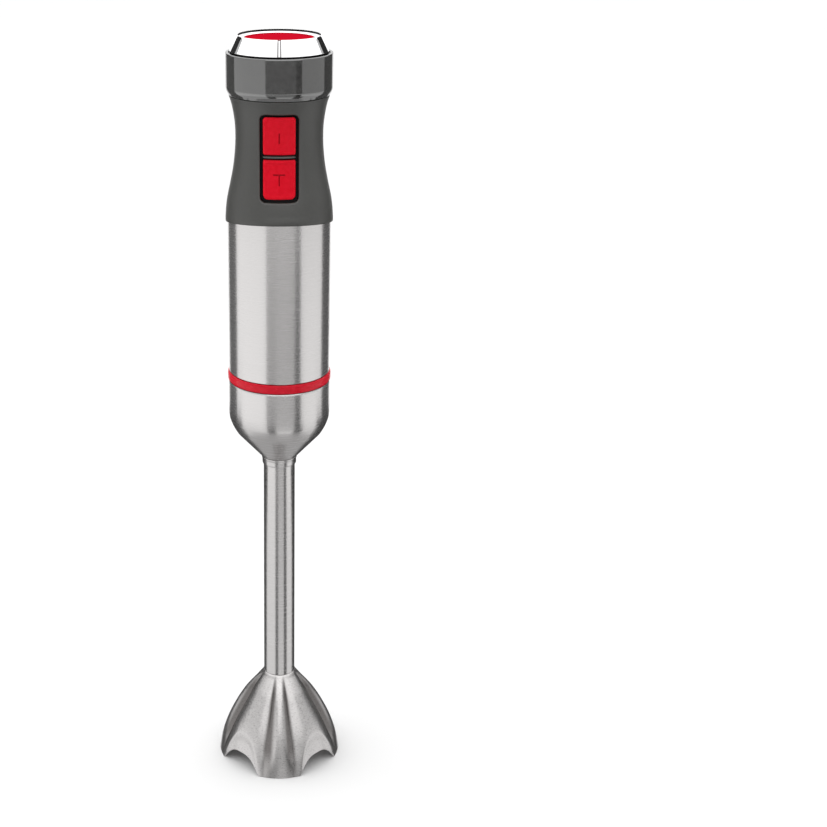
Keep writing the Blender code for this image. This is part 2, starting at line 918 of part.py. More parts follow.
def foot_seal():
    """An O-ring in the groove on top of the foot socket."""
    ring_radius, wire = 19.5, 0.9
    section = [(ring_radius + x, 223.2 + z) for x, z in circle(wire, 6)]
    return turned("foot_seal", section, "black_rubber", segments=24)


def foot_shell():
    inside = [(26.3 - STEEL_WALL, FOOT_TOP), (26.4 - STEEL_WALL, 209.5), (25.2, 203.7)]
    inside += [(24.4, 201.0), (22.6, 197.3), (20.7, 194.6), (8.62, 181.3), (8.62, CONE_BOTTOM)]
    profile = list(FOOT_PROFILE) + list(reversed(inside))
    return turned("foot_shell", profile, "brushed_steel")


def foot_socket():
    socket = turned(
        "foot_socket",
        (
            (25.1, 223.6), (25.1, 209.5), (24.6, 203.4), (23.2, 199.0), (20.1, 194.6),
            (12.0, 186.0), (5.3, 186.0), (5.3, 195.6), (3.0, 195.6), (3.0, 197.4),
            (8.0, 197.4), (8.0, 212.4), (16.0, 212.4), (16.0, 223.6), (18.2, 223.6),
            (18.2, 222.0), (20.8, 222.0), (20.8, 223.6),
        ),
        "black_plastic",
    )
    for i in range(LUG_COUNT):
        middle = LUG_ANGLE + 360 * i / LUG_COUNT
        channel = sector(
            "bayonet_channel_" + str(i + 1),
            ((15.0, 213.2), (17.6, 213.2), (17.6, 225.0), (15.0, 225.0)),
            "black_plastic",
            middle - LUG_HALF_ANGLE - 2 - TWIST,
            middle + LUG_HALF_ANGLE + 2,
            6,
        )
        combine(socket, channel, "DIFFERENCE")
    return socket


def neck_collar():
    return turned(
        "neck_collar",
        ((9.4, 180.6), (9.05, 179.2), (8.95, 176.6), (8.62, 176.3), (8.62, 180.6)),
        "brushed_steel",
        segments=24,
    )


def shaft_tube():
    inner = TUBE_RADIUS - TUBE_WALL
    return turned(
        "shaft_tube",
        ((TUBE_RADIUS, 185.4), (TUBE_RADIUS, 50.9), (inner, 50.9), (inner, 185.4)),
        "brushed_steel",
        segments=24,
    )


def bush(name, low, high, finish):
    bore = DRIVE_RADIUS + RUNNING
    return turned(
        name,
        ((bore, low), (5.0, low), (5.0, high), (bore, high)),
        finish,
        segments=SMALL_SEGMENTS,
    )


# ---------------------------------------------------------------------- bell


def quarter_angle(angle):
    """Degrees from the nearest rib, from 0 to 45, for an angle in degrees."""
    turned_angle = angle % 90.0
    return min(turned_angle, 90.0 - turned_angle)


def relief(angle, height):
    """How far the sheet lies inside the rib line: a crease each side of a rib."""
    away = quarter_angle(angle)
    valley = curve_through(VALLEY_DEPTHS, height)
    panel = curve_through(PANEL_DEPTHS, height)
    if away < VALLEY_ANGLE:
        return valley * (away / VALLEY_ANGLE) ** 1.8
    across = (away - VALLEY_ANGLE) / (45.0 - VALLEY_ANGLE)
    return panel + (valley - panel) * (1.0 - across) ** 3


def scallop(angle):
    """Height of the rim: the arches between the four feet."""
    away = quarter_angle(angle)
    if away <= FOOT_HALF_ANGLE:
        return 0.0
    across = (45.0 - away) / (45.0 - FOOT_HALF_ANGLE)
    return SCALLOP_HEIGHT * (1.0 - across**2.6)


def bell_point(angle, height, wall):
    """A point of the bell's sheet, whose height follows the scalloped rim near the rim."""
    rim = scallop(angle)
    lifted = height
    if height < SCALLOP_BLEND:
        lifted = rim + height * (1.0 - rim / SCALLOP_BLEND)
    step = 0.5
    radius = curve_through(BELL_PROFILE, lifted)
    slope = (curve_through(BELL_PROFILE, lifted + step) - radius) / step
    radius -= relief(angle, lifted) + wall * hypot(1.0, min(abs(slope), 1.0))
    turn = radians(angle)
    return (radius * cos(turn), radius * sin(turn), lifted)


def bell():
    half = (9.0, VALLEY_ANGLE, FOOT_HALF_ANGLE, 30.0)
    quarter = (0.0, *half, 45.0, *(90.0 - a for a in reversed(half)))
    angles = [90.0 * quadrant + a for quadrant in range(4) for a in quarter]
    rings = []
    for height in (0, 6, 13, 20, 28, 36, 43, 49.3):
        rings.append([bell_point(a, height, 0.0) for a in angles])
    for radius, height in (
        (TUBE_RADIUS, BELL_TOP), (7.4, BELL_TOP), (7.4, 60.0), (5.3, 60.0), (5.3, 40.0),
        (7.6, 40.0), (7.6, 43.6),
    ):
        rings.append([on_axis(radius, height, radians(a), "Z") for a in angles])
    for height in (40, 33, 26, 19, 12, 6, 0):
        rings.append([bell_point(a, height, BELL_WALL) for a in angles])
    bm = bmesh.new()
    skin(bm, rings, closed=True)
    return object_from("bell", bm, "brushed_steel")


# --------------------------------------------------------------------- blade


def drive_socket():
    """Two keys inside the cup catch the tang, with play for the twist of the foot."""
    count = 24
    angles = [2 * pi * i / count for i in range(count)]

    def inside(angle):
        away = abs(degrees(atan2(sin(2 * angle + pi), cos(2 * angle + pi)))) / 2
        return 2.6 if away < 31.0 else 4.3

    bore = DRIVE_RADIUS + RUNNING
    rings = [
        [on_axis(radius, height, a, "Z") for a in angles]
        for radius, height in ((bore, 206.0), (bore, 203.0), (6.0, 203.0), (6.0, 213.8))
    ]
    for height in (213.8, 207.0):
        rings.append([on_axis(inside(a), height, a, "Z") for a in angles])
    bm = bmesh.new()
    made = skin(bm, rings, closed=False)
    bm.faces.new(made[0])
    bm.faces.new(made[-1])
    return object_from("drive_socket", bm, "white_plastic")


def drive_shaft():
    return turned(
        "drive_shaft",
        (
            (0, 205.7), (DRIVE_RADIUS, 205.7), (DRIVE_RADIUS, 17.0), (3.4, 17.0), (3.4, 13.5),
            (DRIVE_RADIUS, 13.5), (DRIVE_RADIUS, 10.4), (0, 10.4),
        ),
        "bearing_steel",
        segments=SMALL_SEGMENTS,
    )


def blade():
    """Two wings, one bent up and one bent down, narrowing to their tips."""
    bm = bmesh.new()
    stations = (
        (-21.0, 16.6, 1.6), (-15.5, 14.6, 3.6), (-10.0, 12.6, 4.6), (-4.0, 12.6, 4.6),
        (4.0, 12.6, 4.6), (10.0, 12.6, 4.6), (15.5, 11.2, 3.6), (21.0, 9.8, 1.6),
    )
    half = 0.6
    rings = [
        [(x, -w, z - half), (x, w, z - half), (x, w, z + half), (x, -w, z + half)]
        for x, z, w in stations
    ]
    made = skin(bm, rings, closed=False)
    bm.faces.new(made[0])
    bm.faces.new(made[-1])
    wings = object_from("blade", bm, "bearing_steel")
    radius = DRIVE_RADIUS + RUNNING
    bore = turned(
        "blade_bore",
        ((0, 10.0), (radius, 10.0), (radius, 15.0), (0, 15.0)),
        "bearing_steel",
        segments=SMALL_SEGMENTS,
    )
    return combine(wings, bore, "DIFFERENCE")


def blade_nut():
    return turned(
        "blade_nut",
        (
            (0, 8.6), (3.4, 8.6), (4.0, 9.2), (4.0, 11.7), (2.15, 11.7), (2.15, 10.0), (0, 10.0),
        ),
        "bearing_steel",
        segments=12,
    )


# ------------------------------------------------------------------ assembly


def put_on_axis(name, pieces, place=(0.0, 0.0, 0.0)):
    """Parents pieces to an empty on their joint's axis."""
    axis = bpy.data.objects.new(name, None)
    axis.location = [value * MM for value in place]
    axis.empty_display_size = 0.02
    bpy.context.scene.collection.objects.link(axis)
    bpy.context.view_layer.update()
    for piece in pieces:
        piece.parent = axis
        piece.matrix_parent_inverse = axis.matrix_world.inverted()
    return axis


def build():
    clear_scene()
    motor_unit = [
        top_collar(),
        cord_gland(),
        potentiometer(),
        handle_grip(),
        button_bezel(),
        button_divider(),
        *chassis(),
        control_board(),
        micro_switch("on_switch", ON_BUTTON),
        micro_switch("turbo_switch", TURBO_BUTTON),
        suppression_capacitor(),
        triac_heat_sink(),
        motor_housing(),
        trim_ring(),
        *motor_brackets(),
        stator_core(),
        field_coil("field_coil_left", -1),
        field_coil("field_coil_right", 1),
        *stator_screws(),
        *brush_gear("left", -1),
        *brush_gear("right", 1),
        bearing("upper_bearing", 6.5, SHAFT_RADIUS, 306.0, 311.2),
        bearing("lower_bearing", 8.0, SHAFT_RADIUS, 229.3, 234.3),
    ]
    foot = [
        foot_shell(),
        foot_socket(),
        neck_collar(),
        shaft_tube(),
        bush("upper_bush", 186.3, 195.3, "brass"),
        bush("lower_bush", 45.2, 59.5, "brass"),
        bush("shaft_seal", 40.6, 44.8, "black_rubber"),
        bell(),
    ]
    put_on_axis("motor_unit_axis", motor_unit)
    put_on_axis("dial_axis", speed_dial())
    for name, limits in (("on_button", ON_BUTTON), ("turbo_button", TURBO_BUTTON)):
        middle = sum(limits) / 2
        put_on_axis(name + "_axis", [push_button(name, *limits)], (0.0, -22.0, middle))
    put_on_axis("rotor_axis", rotor())
    put_on_axis("foot_seal_axis", [foot_seal()])
    put_on_axis("foot_axis", foot)
    put_on_axis("blade_axis", [drive_socket(), drive_shaft(), blade(), blade_nut()])


build()
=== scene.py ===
"""Looks of a hand-held immersion blender: fine shells, procedural finishes and a studio.

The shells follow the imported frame, piece by piece. Sizes are in millimetres and
become metres when a mesh is written. The buttons face -Y.
"""

from math import asin, atan2, cos, degrees, hypot, radians, sin, sqrt

import bmesh
import bpy
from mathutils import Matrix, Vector


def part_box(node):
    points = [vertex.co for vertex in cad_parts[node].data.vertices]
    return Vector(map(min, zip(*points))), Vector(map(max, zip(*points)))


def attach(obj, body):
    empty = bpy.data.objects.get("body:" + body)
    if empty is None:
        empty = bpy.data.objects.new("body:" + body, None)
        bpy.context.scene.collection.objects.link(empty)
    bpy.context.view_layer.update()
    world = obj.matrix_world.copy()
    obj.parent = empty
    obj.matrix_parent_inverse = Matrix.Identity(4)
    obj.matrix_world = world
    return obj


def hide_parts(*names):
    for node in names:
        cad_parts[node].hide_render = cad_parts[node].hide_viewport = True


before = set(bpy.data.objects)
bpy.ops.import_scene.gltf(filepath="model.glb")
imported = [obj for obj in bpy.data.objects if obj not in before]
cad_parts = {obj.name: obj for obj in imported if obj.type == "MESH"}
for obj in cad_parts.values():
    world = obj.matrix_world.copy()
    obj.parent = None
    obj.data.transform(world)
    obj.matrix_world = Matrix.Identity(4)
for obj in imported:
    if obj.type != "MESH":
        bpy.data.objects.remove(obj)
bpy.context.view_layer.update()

MM = 0.001
FRONT = -90.0
ROUND = 192

# Height and radius along the outside of the grip, from its lip to its top
GRIP_PROFILE = (
    (305.0, 27.05), (312.0, 26.98), (320.0, 26.13), (327.9, 24.48), (335.9, 22.95),
    (343.0, 22.10), (350.0, 21.72), (357.0, 21.90), (363.7, 22.80), (368.6, 23.93),
    (372.7, 25.45),
)
GRIP_WALL = 1.8
LIP_HEIGHT = 308.0
LIP_RISE = 3.7
WINDOW_HALF_WIDTH = 9.3
WINDOW_LOW = 322.9
WINDOW_HIGH = 364.9
WINDOW_CORNER = 2.5
WINDOW_ROUNDING = 0.9
WINDOW_DEPTH = 2.6

# The part of the grip's surface whose mesh runs out from the window
PATCH_HALF_ANGLE = 44.0
PATCH_LOW = 317.0
PATCH_HIGH = 370.0
PATCH_COUNT = (26, 40)
CORNER_STEPS = 32

# The dial's cone: its inner edge, its foot below the top, and the skirt under it, which is black
# as painted shade
CONE_RADIUS = 20.3
CONE_FOOT = 7.57
SKIRT_RADIUS = 22.8
INDEX_HALF_ANGLE = 1.0
INDEX_SIDE = 1.5
INDEX_DEPTH = 0.35

COLLAR_SKIRT = 1.3
VENT_OFFSETS = (24, 33, 42, -24, -33, -42)
VENT_LOW = 377.0
VENT_HIGH = 386.5
VENT_HALF_WIDTH = 0.8
INLET_RADIUS = 6.2
GLAND_BORE = 3.7
GLAND_FLANGE = 7.2

BUTTON_OFFSET = 0.35
BUTTON_RIM = 1.0
MARK_DEPTH = 0.32
MARK_HALF_STROKE = 0.30
DIVIDER_HALF_WIDTH = 8.0

STEEL_WALL = 0.8
TUBE_WALL = 0.75
TUBE_TAPER = 0.2

# Height and radius along the outside of the foot shell
FOOT_PROFILE = (
    (180.9, 9.4), (194.6, 21.9), (196.9, 23.4), (199.2, 24.6), (201.5, 25.5),
    (203.7, 26.1), (209.5, 26.4), (223.9, 26.3),
)

# Height and radius along a rib of the bell, and how far inside it the sheet lies
BELL_PROFILE = (
    (0.0, 33.70), (10.1, 31.95), (20.6, 28.60), (31.1, 23.65), (39.0, 18.80),
    (44.1, 14.60), (49.3, 9.60), (50.6, 8.45),
)
VALLEY_DEPTHS = (
    (0.0, 0.3), (8.0, 1.4), (16.0, 2.8), (33.0, 3.9), (43.0, 2.3), (49.3, 0.4), (50.6, 0.0),
)
PANEL_DEPTHS = (
    (0.0, 0.1), (8.0, 0.4), (16.0, 0.9), (33.0, 2.0), (43.0, 1.3), (49.3, 0.2), (50.6, 0.0),
)
VALLEY_ANGLE = 15.5
BELL_WALL = 1.0
BELL_TOP = 50.6
TUBE_RADIUS = 8.45
SCALLOP_HEIGHT = 9.3
FOOT_HALF_ANGLE = 20.5
SCALLOP_BLEND = 26.0
HOOD_HEIGHT = 12.0
HOOD_DEPTH = 1.2
SHEET_STEP = 0.5
OUTER_RINGS = 70  # the bell's rings up to its top edge, counted from the rim
ACROSS_BRUSHING = 0.25
# The painted shade in the bell's creases and rib flanks, and the crests' own colour
PAINTED_CREASE_SHADE = (0.30, 0.29, 0.285)
CREST_TINT = (1.0, 1.0, 1.0)

BLADE_LENGTH = 21.0
BLADE_HEIGHT = 12.6
BLADE_BEND = 6.2
BLADE_HALF_THICKNESS = 0.6
BLADE_EDGE = 0.08


# ---------------------------------------------------------------- materials


def linked(tree, source, target):
    tree.links.new(source, target)


def blank(name, constants):
    """A Principled material with its constants set on the shader's own sockets."""
    made = bpy.data.materials.new(name)
    made.use_nodes = True
    shader = made.node_tree.nodes["Principled BSDF"]
    for socket, value in constants.items():
        shader.inputs[socket].default_value = value
    return made, made.node_tree, shader


def place(tree, stretch):
    """The piece's own coordinates, stretched into cells per metre along each axis."""
    coordinates = tree.nodes.new("ShaderNodeTexCoord")
    mapping = tree.nodes.new("ShaderNodeMapping")
    mapping.inputs["Scale"].default_value = stretch
    linked(tree, coordinates.outputs["Object"], mapping.inputs["Vector"])
    return mapping.outputs["Vector"]


def noise(tree, stretch, detail, roughness):
    texture = tree.nodes.new("ShaderNodeTexNoise")
    texture.inputs["Scale"].default_value = 1.0
    texture.inputs["Detail"].default_value = detail
    texture.inputs["Roughness"].default_value = roughness
    linked(tree, place(tree, stretch), texture.inputs["Vector"])
    return texture.outputs["Fac"]


def speckle(*scale, detail=3.0, roughness=0.55):
    """A noise pattern, from one scale for all axes or one for each."""
    stretch = scale if len(scale) == 3 else scale * 3
    return lambda tree: noise(tree, stretch, detail, roughness)


def wave(tree, stretch, direction, distortion=0.0):
    texture = tree.nodes.new("ShaderNodeTexWave")
    texture.bands_direction = direction
    texture.inputs["Scale"].default_value = 1.0
    texture.inputs["Distortion"].default_value = distortion
    linked(tree, place(tree, stretch), texture.inputs["Vector"])
    return texture.outputs["Fac"]


def cells(tree, stretch):
    texture = tree.nodes.new("ShaderNodeTexVoronoi")
    texture.inputs["Scale"].default_value = 1.0
    linked(tree, place(tree, stretch), texture.inputs["Vector"])
    return texture.outputs["Distance"]


def spread(tree, value, low, high, start=0.3, end=0.7):
    """A pattern's middle part, remapped to run from low to high."""
    node = tree.nodes.new("ShaderNodeMapRange")
    for socket, number in (
        ("From Min", start), ("From Max", end), ("To Min", low), ("To Max", high),
    ):
        node.inputs[socket].default_value = number
    linked(tree, value, node.inputs["Value"])
    return node.outputs["Result"]


def between(tree, value, first, second):
    """A colour between two, by a pattern."""
    node = tree.nodes.new("ShaderNodeMix")
    node.data_type = "RGBA"
    sockets = [s for s in node.inputs if s.type == "RGBA"]
    sockets[0].default_value = (*first, 1.0)
    sockets[1].default_value = (*second, 1.0)
    linked(tree, value, node.inputs[0])
    return next(s for s in node.outputs if s.type == "RGBA")


def finish(name, colours, roughness, pattern, grain=None, height=0.0, **constants):
    """A finish whose colour and roughness follow one pattern, with a bump from a grain."""
    sockets = {key.replace("_", " "): value for key, value in constants.items()}
    made, tree, shader = blank(name, sockets)
    value = pattern(tree)
    linked(tree, between(tree, spread(tree, value, 0, 1), *colours), shader.inputs["Base Color"])
    linked(tree, spread(tree, value, *roughness), shader.inputs["Roughness"])
    if grain:
        bump = tree.nodes.new("ShaderNodeBump")
        bump.inputs["Strength"].default_value = 1.0
        bump.inputs["Distance"].default_value = height * MM
        linked(tree, grain(tree), bump.inputs["Height"])
        linked(tree, bump.outputs["Normal"], shader.inputs["Normal"])
    return made


def tangent_round(material):
    """Stretches the highlights of turned metal across its brushing."""
    tree = material.node_tree
    tangent = tree.nodes.new("ShaderNodeTangent")
    tangent.direction_type = "RADIAL"
    tangent.axis = "Z"
    shader = tree.nodes["Principled BSDF"]
    shader.inputs["Anisotropic Rotation"].default_value = ACROSS_BRUSHING
    linked(tree, tangent.outputs["Tangent"], shader.inputs["Tangent"])


def paint_crease_shade(material):
    """Paints shade into the creases of the pressed sheet, whose colour is darker than the crests'.
    """
    tree = material.node_tree
    shader = tree.nodes["Principled BSDF"]
    colour = shader.inputs["Base Color"].links[0].from_socket
    attribute = tree.nodes.new("ShaderNodeAttribute")
    attribute.attribute_name = "shade_factor"
    shade = tree.nodes.new("ShaderNodeMix")
    shade.data_type = "RGBA"
    shade.blend_type = "MULTIPLY"
    shade.inputs[0].default_value = 1.0
    sockets = [s for s in shade.inputs if s.type == "RGBA"]
    linked(tree, colour, sockets[0])
    linked(tree, between(tree, attribute.outputs["Fac"], PAINTED_CREASE_SHADE, CREST_TINT), sockets[1])
    result = next(s for s in shade.outputs if s.type == "RGBA")
    linked(tree, result, shader.inputs["Base Color"])


def make_looks():
    looks = {}

    def add(slot, *args, **kwargs):
        looks[slot] = finish(slot, *args, **kwargs)

    add(
        "chrome", ((0.90, 0.90, 0.91), (0.95, 0.95, 0.95)), (0.025, 0.06),
        speckle(260, 260, 420), Metallic=1.0,
    )
    add(
        "red_insert", ((0.39, 0.003, 0.013), (0.44, 0.005, 0.018)), (0.38, 0.48),
        speckle(900), speckle(5200), 0.012, Specular_IOR_Level=0.0,
    )
    add(
        "red_button", ((0.66, 0.003, 0.015), (0.72, 0.005, 0.021)), (0.34, 0.44),
        speckle(500), speckle(4200), 0.014, Specular_IOR_Level=0.07,
    )
    add(
        "red_ring", ((0.55, 0.003, 0.016), (0.62, 0.006, 0.024)), (0.20, 0.30),
        speckle(300, 300, 900), speckle(900, 900, 2600), 0.010, Specular_IOR_Level=0.20,
    )
    add(
        "gloss_grey", ((0.020, 0.020, 0.019), (0.026, 0.026, 0.024)), (0.07, 0.11),
        speckle(420), speckle(120, 120, 160, detail=1.0), 0.020, IOR=2.6,
    )
    add(
        "soft_grey", ((0.028, 0.028, 0.025), (0.035, 0.035, 0.031)), (0.42, 0.52),
        speckle(700), speckle(3600, detail=4.0), 0.035, IOR=1.72,
    )
    add(
        "brushed_steel", ((0.60, 0.585, 0.58), (0.67, 0.655, 0.65)), (0.22, 0.29),
        speckle(40, 40, 6200, detail=5.0, roughness=0.7),
        speckle(40, 40, 8800, detail=4.0, roughness=0.7), 0.0025, Metallic=1.0,
        Anisotropic=0.65,
    )
    add(
        "satin_steel", ((0.45, 0.437, 0.433), (0.63, 0.616, 0.61)), (0.24, 0.38),
        speckle(900, 900, 2400, detail=5.0, roughness=0.7),
        speckle(1100, 1100, 2600, detail=4.0, roughness=0.7), 0.034, Metallic=1.0,
        Anisotropic=0.30,
    )
    add(
        "black_plastic", ((0.0015, 0.0015, 0.0015), (0.003, 0.003, 0.003)), (0.32, 0.46),
        speckle(800), speckle(3800), 0.020, Specular_IOR_Level=0.08,
    )
    add(
        "white_plastic", ((0.72, 0.71, 0.66), (0.80, 0.79, 0.75)), (0.36, 0.48),
        speckle(600), speckle(3000), 0.015,
    )
    add(
        "bearing_steel", ((0.50, 0.50, 0.52), (0.60, 0.60, 0.61)), (0.16, 0.26),
        speckle(90, 90, 3800, detail=4.0, roughness=0.7), Metallic=1.0,
    )
    add(
        "blade_steel", ((0.56, 0.56, 0.57), (0.68, 0.68, 0.68)), (0.14, 0.28),
        speckle(3600, 160, 160, detail=4.0, roughness=0.7),
        speckle(5200, 120, 120, detail=3.0, roughness=0.7), 0.005, Metallic=1.0,
    )
    add(
        "laminated_iron", ((0.10, 0.10, 0.11), (0.26, 0.26, 0.28)), (0.34, 0.52),
        lambda t: wave(t, (0, 0, 320), "Z", 0.6), lambda t: wave(t, (0, 0, 320), "Z"), 0.05,
        Metallic=0.9,
    )
    add(
        "copper", ((0.48, 0.17, 0.06), (0.80, 0.36, 0.17)), (0.20, 0.42),
        lambda t: wave(t, (120, 120, 420), "DIAGONAL", 1.5),
        lambda t: wave(t, (120, 120, 420), "DIAGONAL", 1.5), 0.10, Metallic=1.0,
    )
    add(
        "brass", ((0.68, 0.46, 0.16), (0.80, 0.60, 0.28)), (0.22, 0.36),
        speckle(2400, 180, 180, detail=4.0), Metallic=1.0,
    )
    add(
        "aluminium", ((0.66, 0.67, 0.69), (0.78, 0.79, 0.81)), (0.28, 0.42),
        speckle(240, 240, 2600, detail=4.0), Metallic=1.0,
    )
    add(
        "carbon", ((0.020, 0.020, 0.021), (0.050, 0.050, 0.052)), (0.45, 0.65),
        speckle(1500, detail=4.0), speckle(2600), 0.03,
    )
    add(
        "circuit_board", ((0.015, 0.110, 0.045), (0.050, 0.230, 0.100)), (0.22, 0.40),
        lambda t: cells(t, (420, 420, 420)), lambda t: cells(t, (420, 420, 420)), 0.04,
    )
    add(
        "capacitor_yellow", ((0.70, 0.50, 0.05), (0.80, 0.62, 0.10)), (0.26, 0.40),
        speckle(420), speckle(1800), 0.02,
    )
    add(
        "black_rubber", ((0.010, 0.010, 0.010), (0.020, 0.020, 0.019)), (0.55, 0.75),
        speckle(900), speckle(2800, detail=4.0), 0.04,
    )
    add(
        "shadowed_steel", ((0.10, 0.10, 0.10), (0.16, 0.16, 0.16)), (0.34, 0.50),
        speckle(900, 900, 2400, detail=4.0), Metallic=1.0,
    )
    # Painted shade in the buttons' engraved marks
    add(
        "red_mark_shade", ((0.30, 0.002, 0.007), (0.35, 0.003, 0.010)), (0.40, 0.55),
        speckle(900), Specular_IOR_Level=0.05,
    )
    # Painted shade on the index groove's side walls
    add(
        "index_groove_shade", ((0.22, 0.21, 0.21), (0.27, 0.26, 0.26)), (0.40, 0.55),
        speckle(900),
    )
    tangent_round(looks["brushed_steel"])
    tangent_round(looks["satin_steel"])
    paint_crease_shade(looks["satin_steel"])
    return looks


LOOKS = make_looks()

# The carried-over nodes, by the material slot that each takes its finish from
KEPT_NODES = {
    "black_plastic": (
        "dial_hub", "chassis_front", "chassis_rear", "on_switch", "turbo_switch", "cooling_fan",
        "motor_bracket_upper", "motor_bracket_lower", "foot_socket",
    ),
    "aluminium": ("dial_shaft", "triac_heat_sink"),
    "bearing_steel": (
        "potentiometer", "chassis_screw_lower", "chassis_screw_upper", "stator_screw_front",
        "stator_screw_back", "upper_bearing", "lower_bearing", "motor_shaft",
    ),
    "circuit_board": ("control_board",),
    "capacitor_yellow": ("suppression_capacitor",),
    "laminated_iron": ("stator_core", "armature_core"),
    "copper": (
        "field_coil_left", "field_coil_right", "armature_winding_upper",
        "armature_winding_lower", "commutator",
    ),
    "brass": ("brush_holder_left", "brush_holder_right", "upper_bush", "lower_bush"),
    "carbon": ("brush_left", "brush_right"),
    "white_plastic": ("drive_dog", "drive_socket"),
    "black_rubber": ("shaft_seal",),
}


def finish_kept_nodes():
    for slot, names in KEPT_NODES.items():
        for name in names:
            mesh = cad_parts[name].data
            mesh.materials.clear()
            mesh.materials.append(LOOKS[slot])


# --------------------------------------------------------------- mesh tools


def write(name, bm, slot, body, stands_for, sharp=40.0):
    """Writes a mesh in millimetres to a piece in metres, riding on its body."""
    bmesh.ops.recalc_face_normals(bm, faces=bm.faces)
    bmesh.ops.scale(bm, vec=(MM, MM, MM), verts=bm.verts)
    mesh = bpy.data.meshes.new(name)
    bm.to_mesh(mesh)
    bm.free()
    mesh.shade_smooth()
    mesh.set_sharp_from_angle(angle=radians(sharp))
    mesh.materials.append(LOOKS[slot])
    piece = bpy.data.objects.new(name, mesh)
    bpy.context.scene.collection.objects.link(piece)
    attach(piece, body)
    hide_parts(*stands_for)
    return piece


def skin(bm, rings, closed):
    """Faces between rings of points, where a ring of one point is a tip."""
    made = [[bm.verts.new(point) for point in ring] for ring in rings]
    pairs = list(zip(made, made[1:]))
    if closed:
        pairs.append((made[-1], made[0]))
    for first, second in pairs:
        count = max(len(first), len(second))
        if count == 1:
            continue
        for i in range(count):
            j = (i + 1) % count
            corners = [first[i % len(first)], first[j % len(first)]]
            corners += [second[j % len(second)], second[i % len(second)]]
            bm.faces.new(list(dict.fromkeys(corners)))
    return made


def filleted(points, steps=4, support=0.18):
    """Rounds each corner of a closed outline by its third number, with support points."""
    made = []
    for i, point in enumerate(points):
        here = Vector(point[:2])
        if len(point) < 3:
            made.append(tuple(here))
            continue
        before = Vector(points[i - 1][:2]) - here
        after = Vector(points[(i + 1) % len(points)][:2]) - here
        reach = min(point[2], 0.42 * before.length, 0.42 * after.length)
        start = here + before.normalized() * reach
        end = here + after.normalized() * reach
        if before.length > 4 * support:
            made.append(tuple(start + before.normalized() * support))
        for step in range(steps + 1):
            t = step / steps
            made.append(tuple(start * (1 - t) ** 2 + here * (2 * t * (1 - t)) + end * t**2))
        if after.length > 4 * support:
            made.append(tuple(end + after.normalized() * support))
    return made


def even_angles(count):
    return [FRONT + 360.0 * i / count for i in range(count)]


def on_axis(radius, height, angle, axis="Z"):
    """A point at a radius and height from the axis, Z or Y, for an angle in degrees."""
    turn = radians(angle)
    if axis == "Y":
        return (radius * cos(turn), height, -radius * sin(turn))
    return (radius * cos(turn), radius * sin(turn), height)


def lathe(outline, angles, axis="Z", centre=(0, 0, 0), shape=None):
    """A closed outline of (radius, height) turned round an axis, its radius shaped by angle."""
    bm = bmesh.new()
    rings = []
    for radius, height in outline:
        around = angles if radius > 0 else angles[:1]
        ring = []
        for angle in around:
            shaped = shape(radius, height, angle) if shape else radius
            ring.append(on_axis(shaped, height, angle, axis))
        rings.append(ring)
    skin(bm, rings, closed=True)
    bmesh.ops.translate(bm, vec=centre, verts=bm.verts)
    return bm


def curve_through(points, height):
    """A smooth value at a height, through points of (height, value)."""
    index = 0
    while index < len(points) - 2 and height > points[index + 1][0]:
        index += 1
    (z1, r1), (z2, r2) = points[index], points[index + 1]
    z0, r0 = points[max(index - 1, 0)]
    z3, r3 = points[min(index + 2, len(points) - 1)]
    slope1 = (r2 - r0) / (z2 - z0)
    slope2 = (r3 - r1) / (z3 - z1)
    span = z2 - z1
    t = min(max((height - z1) / span, 0.0), 1.0)
    h00 = 2 * t**3 - 3 * t**2 + 1
    h10 = t**3 - 2 * t**2 + t
    h01 = 3 * t**2 - 2 * t**3
    h11 = t**3 - t**2
    return h00 * r1 + h10 * span * slope1 + h01 * r2 + h11 * span * slope2


def smooth(value):
    """Zero to one with soft ends."""
    t = min(max(value, 0.0), 1.0)
    return t * t * (3 - 2 * t)


def steps_between(low, high, count):
    return [low + (high - low) * i / count for i in range(count + 1)]


def cut(name, blank_bm, cutters):
    """The mesh left after Boolean cuts, as a bmesh in millimetres."""
    made = []
    for label, bm in [(name + "_blank", blank_bm)] + cutters:
        mesh = bpy.data.meshes.new(label)
        bmesh.ops.recalc_face_normals(bm, faces=bm.faces)
        bm.to_mesh(mesh)
        bm.free()
        obj = bpy.data.objects.new(label, mesh)
        bpy.context.scene.collection.objects.link(obj)
        made.append(obj)
    for cutter in made[1:]:
        modifier = made[0].modifiers.new(cutter.name, "BOOLEAN")
        modifier.operation = "INTERSECT" if cutter.name.endswith("limits") else "DIFFERENCE"
        modifier.object = cutter
        modifier.solver = "EXACT"
    graph = bpy.context.evaluated_depsgraph_get()
    result = bmesh.new()
    result.from_mesh(made[0].evaluated_get(graph).to_mesh())
    for obj in made:
        bpy.data.objects.remove(obj)
    return result


def node_box(name):
    """The lowest and highest corner of a CAD node, in millimetres."""
    low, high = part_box(name)
    return low / MM, high / MM


def middle_height(name):
    low, high = node_box(name)
    return (low.z + high.z) / 2


def from_front(angle):
    """Degrees round the axis from the front, from 0 to 180."""
    return abs((angle - FRONT + 180.0) % 360.0 - 180.0)


def cap(bm, made):
    """Closes both ends of a skin."""
    bm.faces.new(made[0])
    bm.faces.new(made[-1])


def turned(name, outline, count, slot, body, node):
    """A piece turned round the axis, in place of one CAD node."""
    write(name, lathe(outline, even_angles(count)), slot, body, [node])


# --------------------------------------------------------------- speed dial


DIAL_LOW = node_box("dial_ring")[0].z


def index_groove(radius, height, angle):
    """The index line is a shallow groove down the front of the cone."""
    if radius <= CONE_RADIUS or height <= DIAL_LOW + 1.0:
        return radius
    inside = INDEX_HALF_ANGLE + INDEX_SIDE - from_front(angle)
    return radius - INDEX_DEPTH * smooth(inside / INDEX_SIDE)


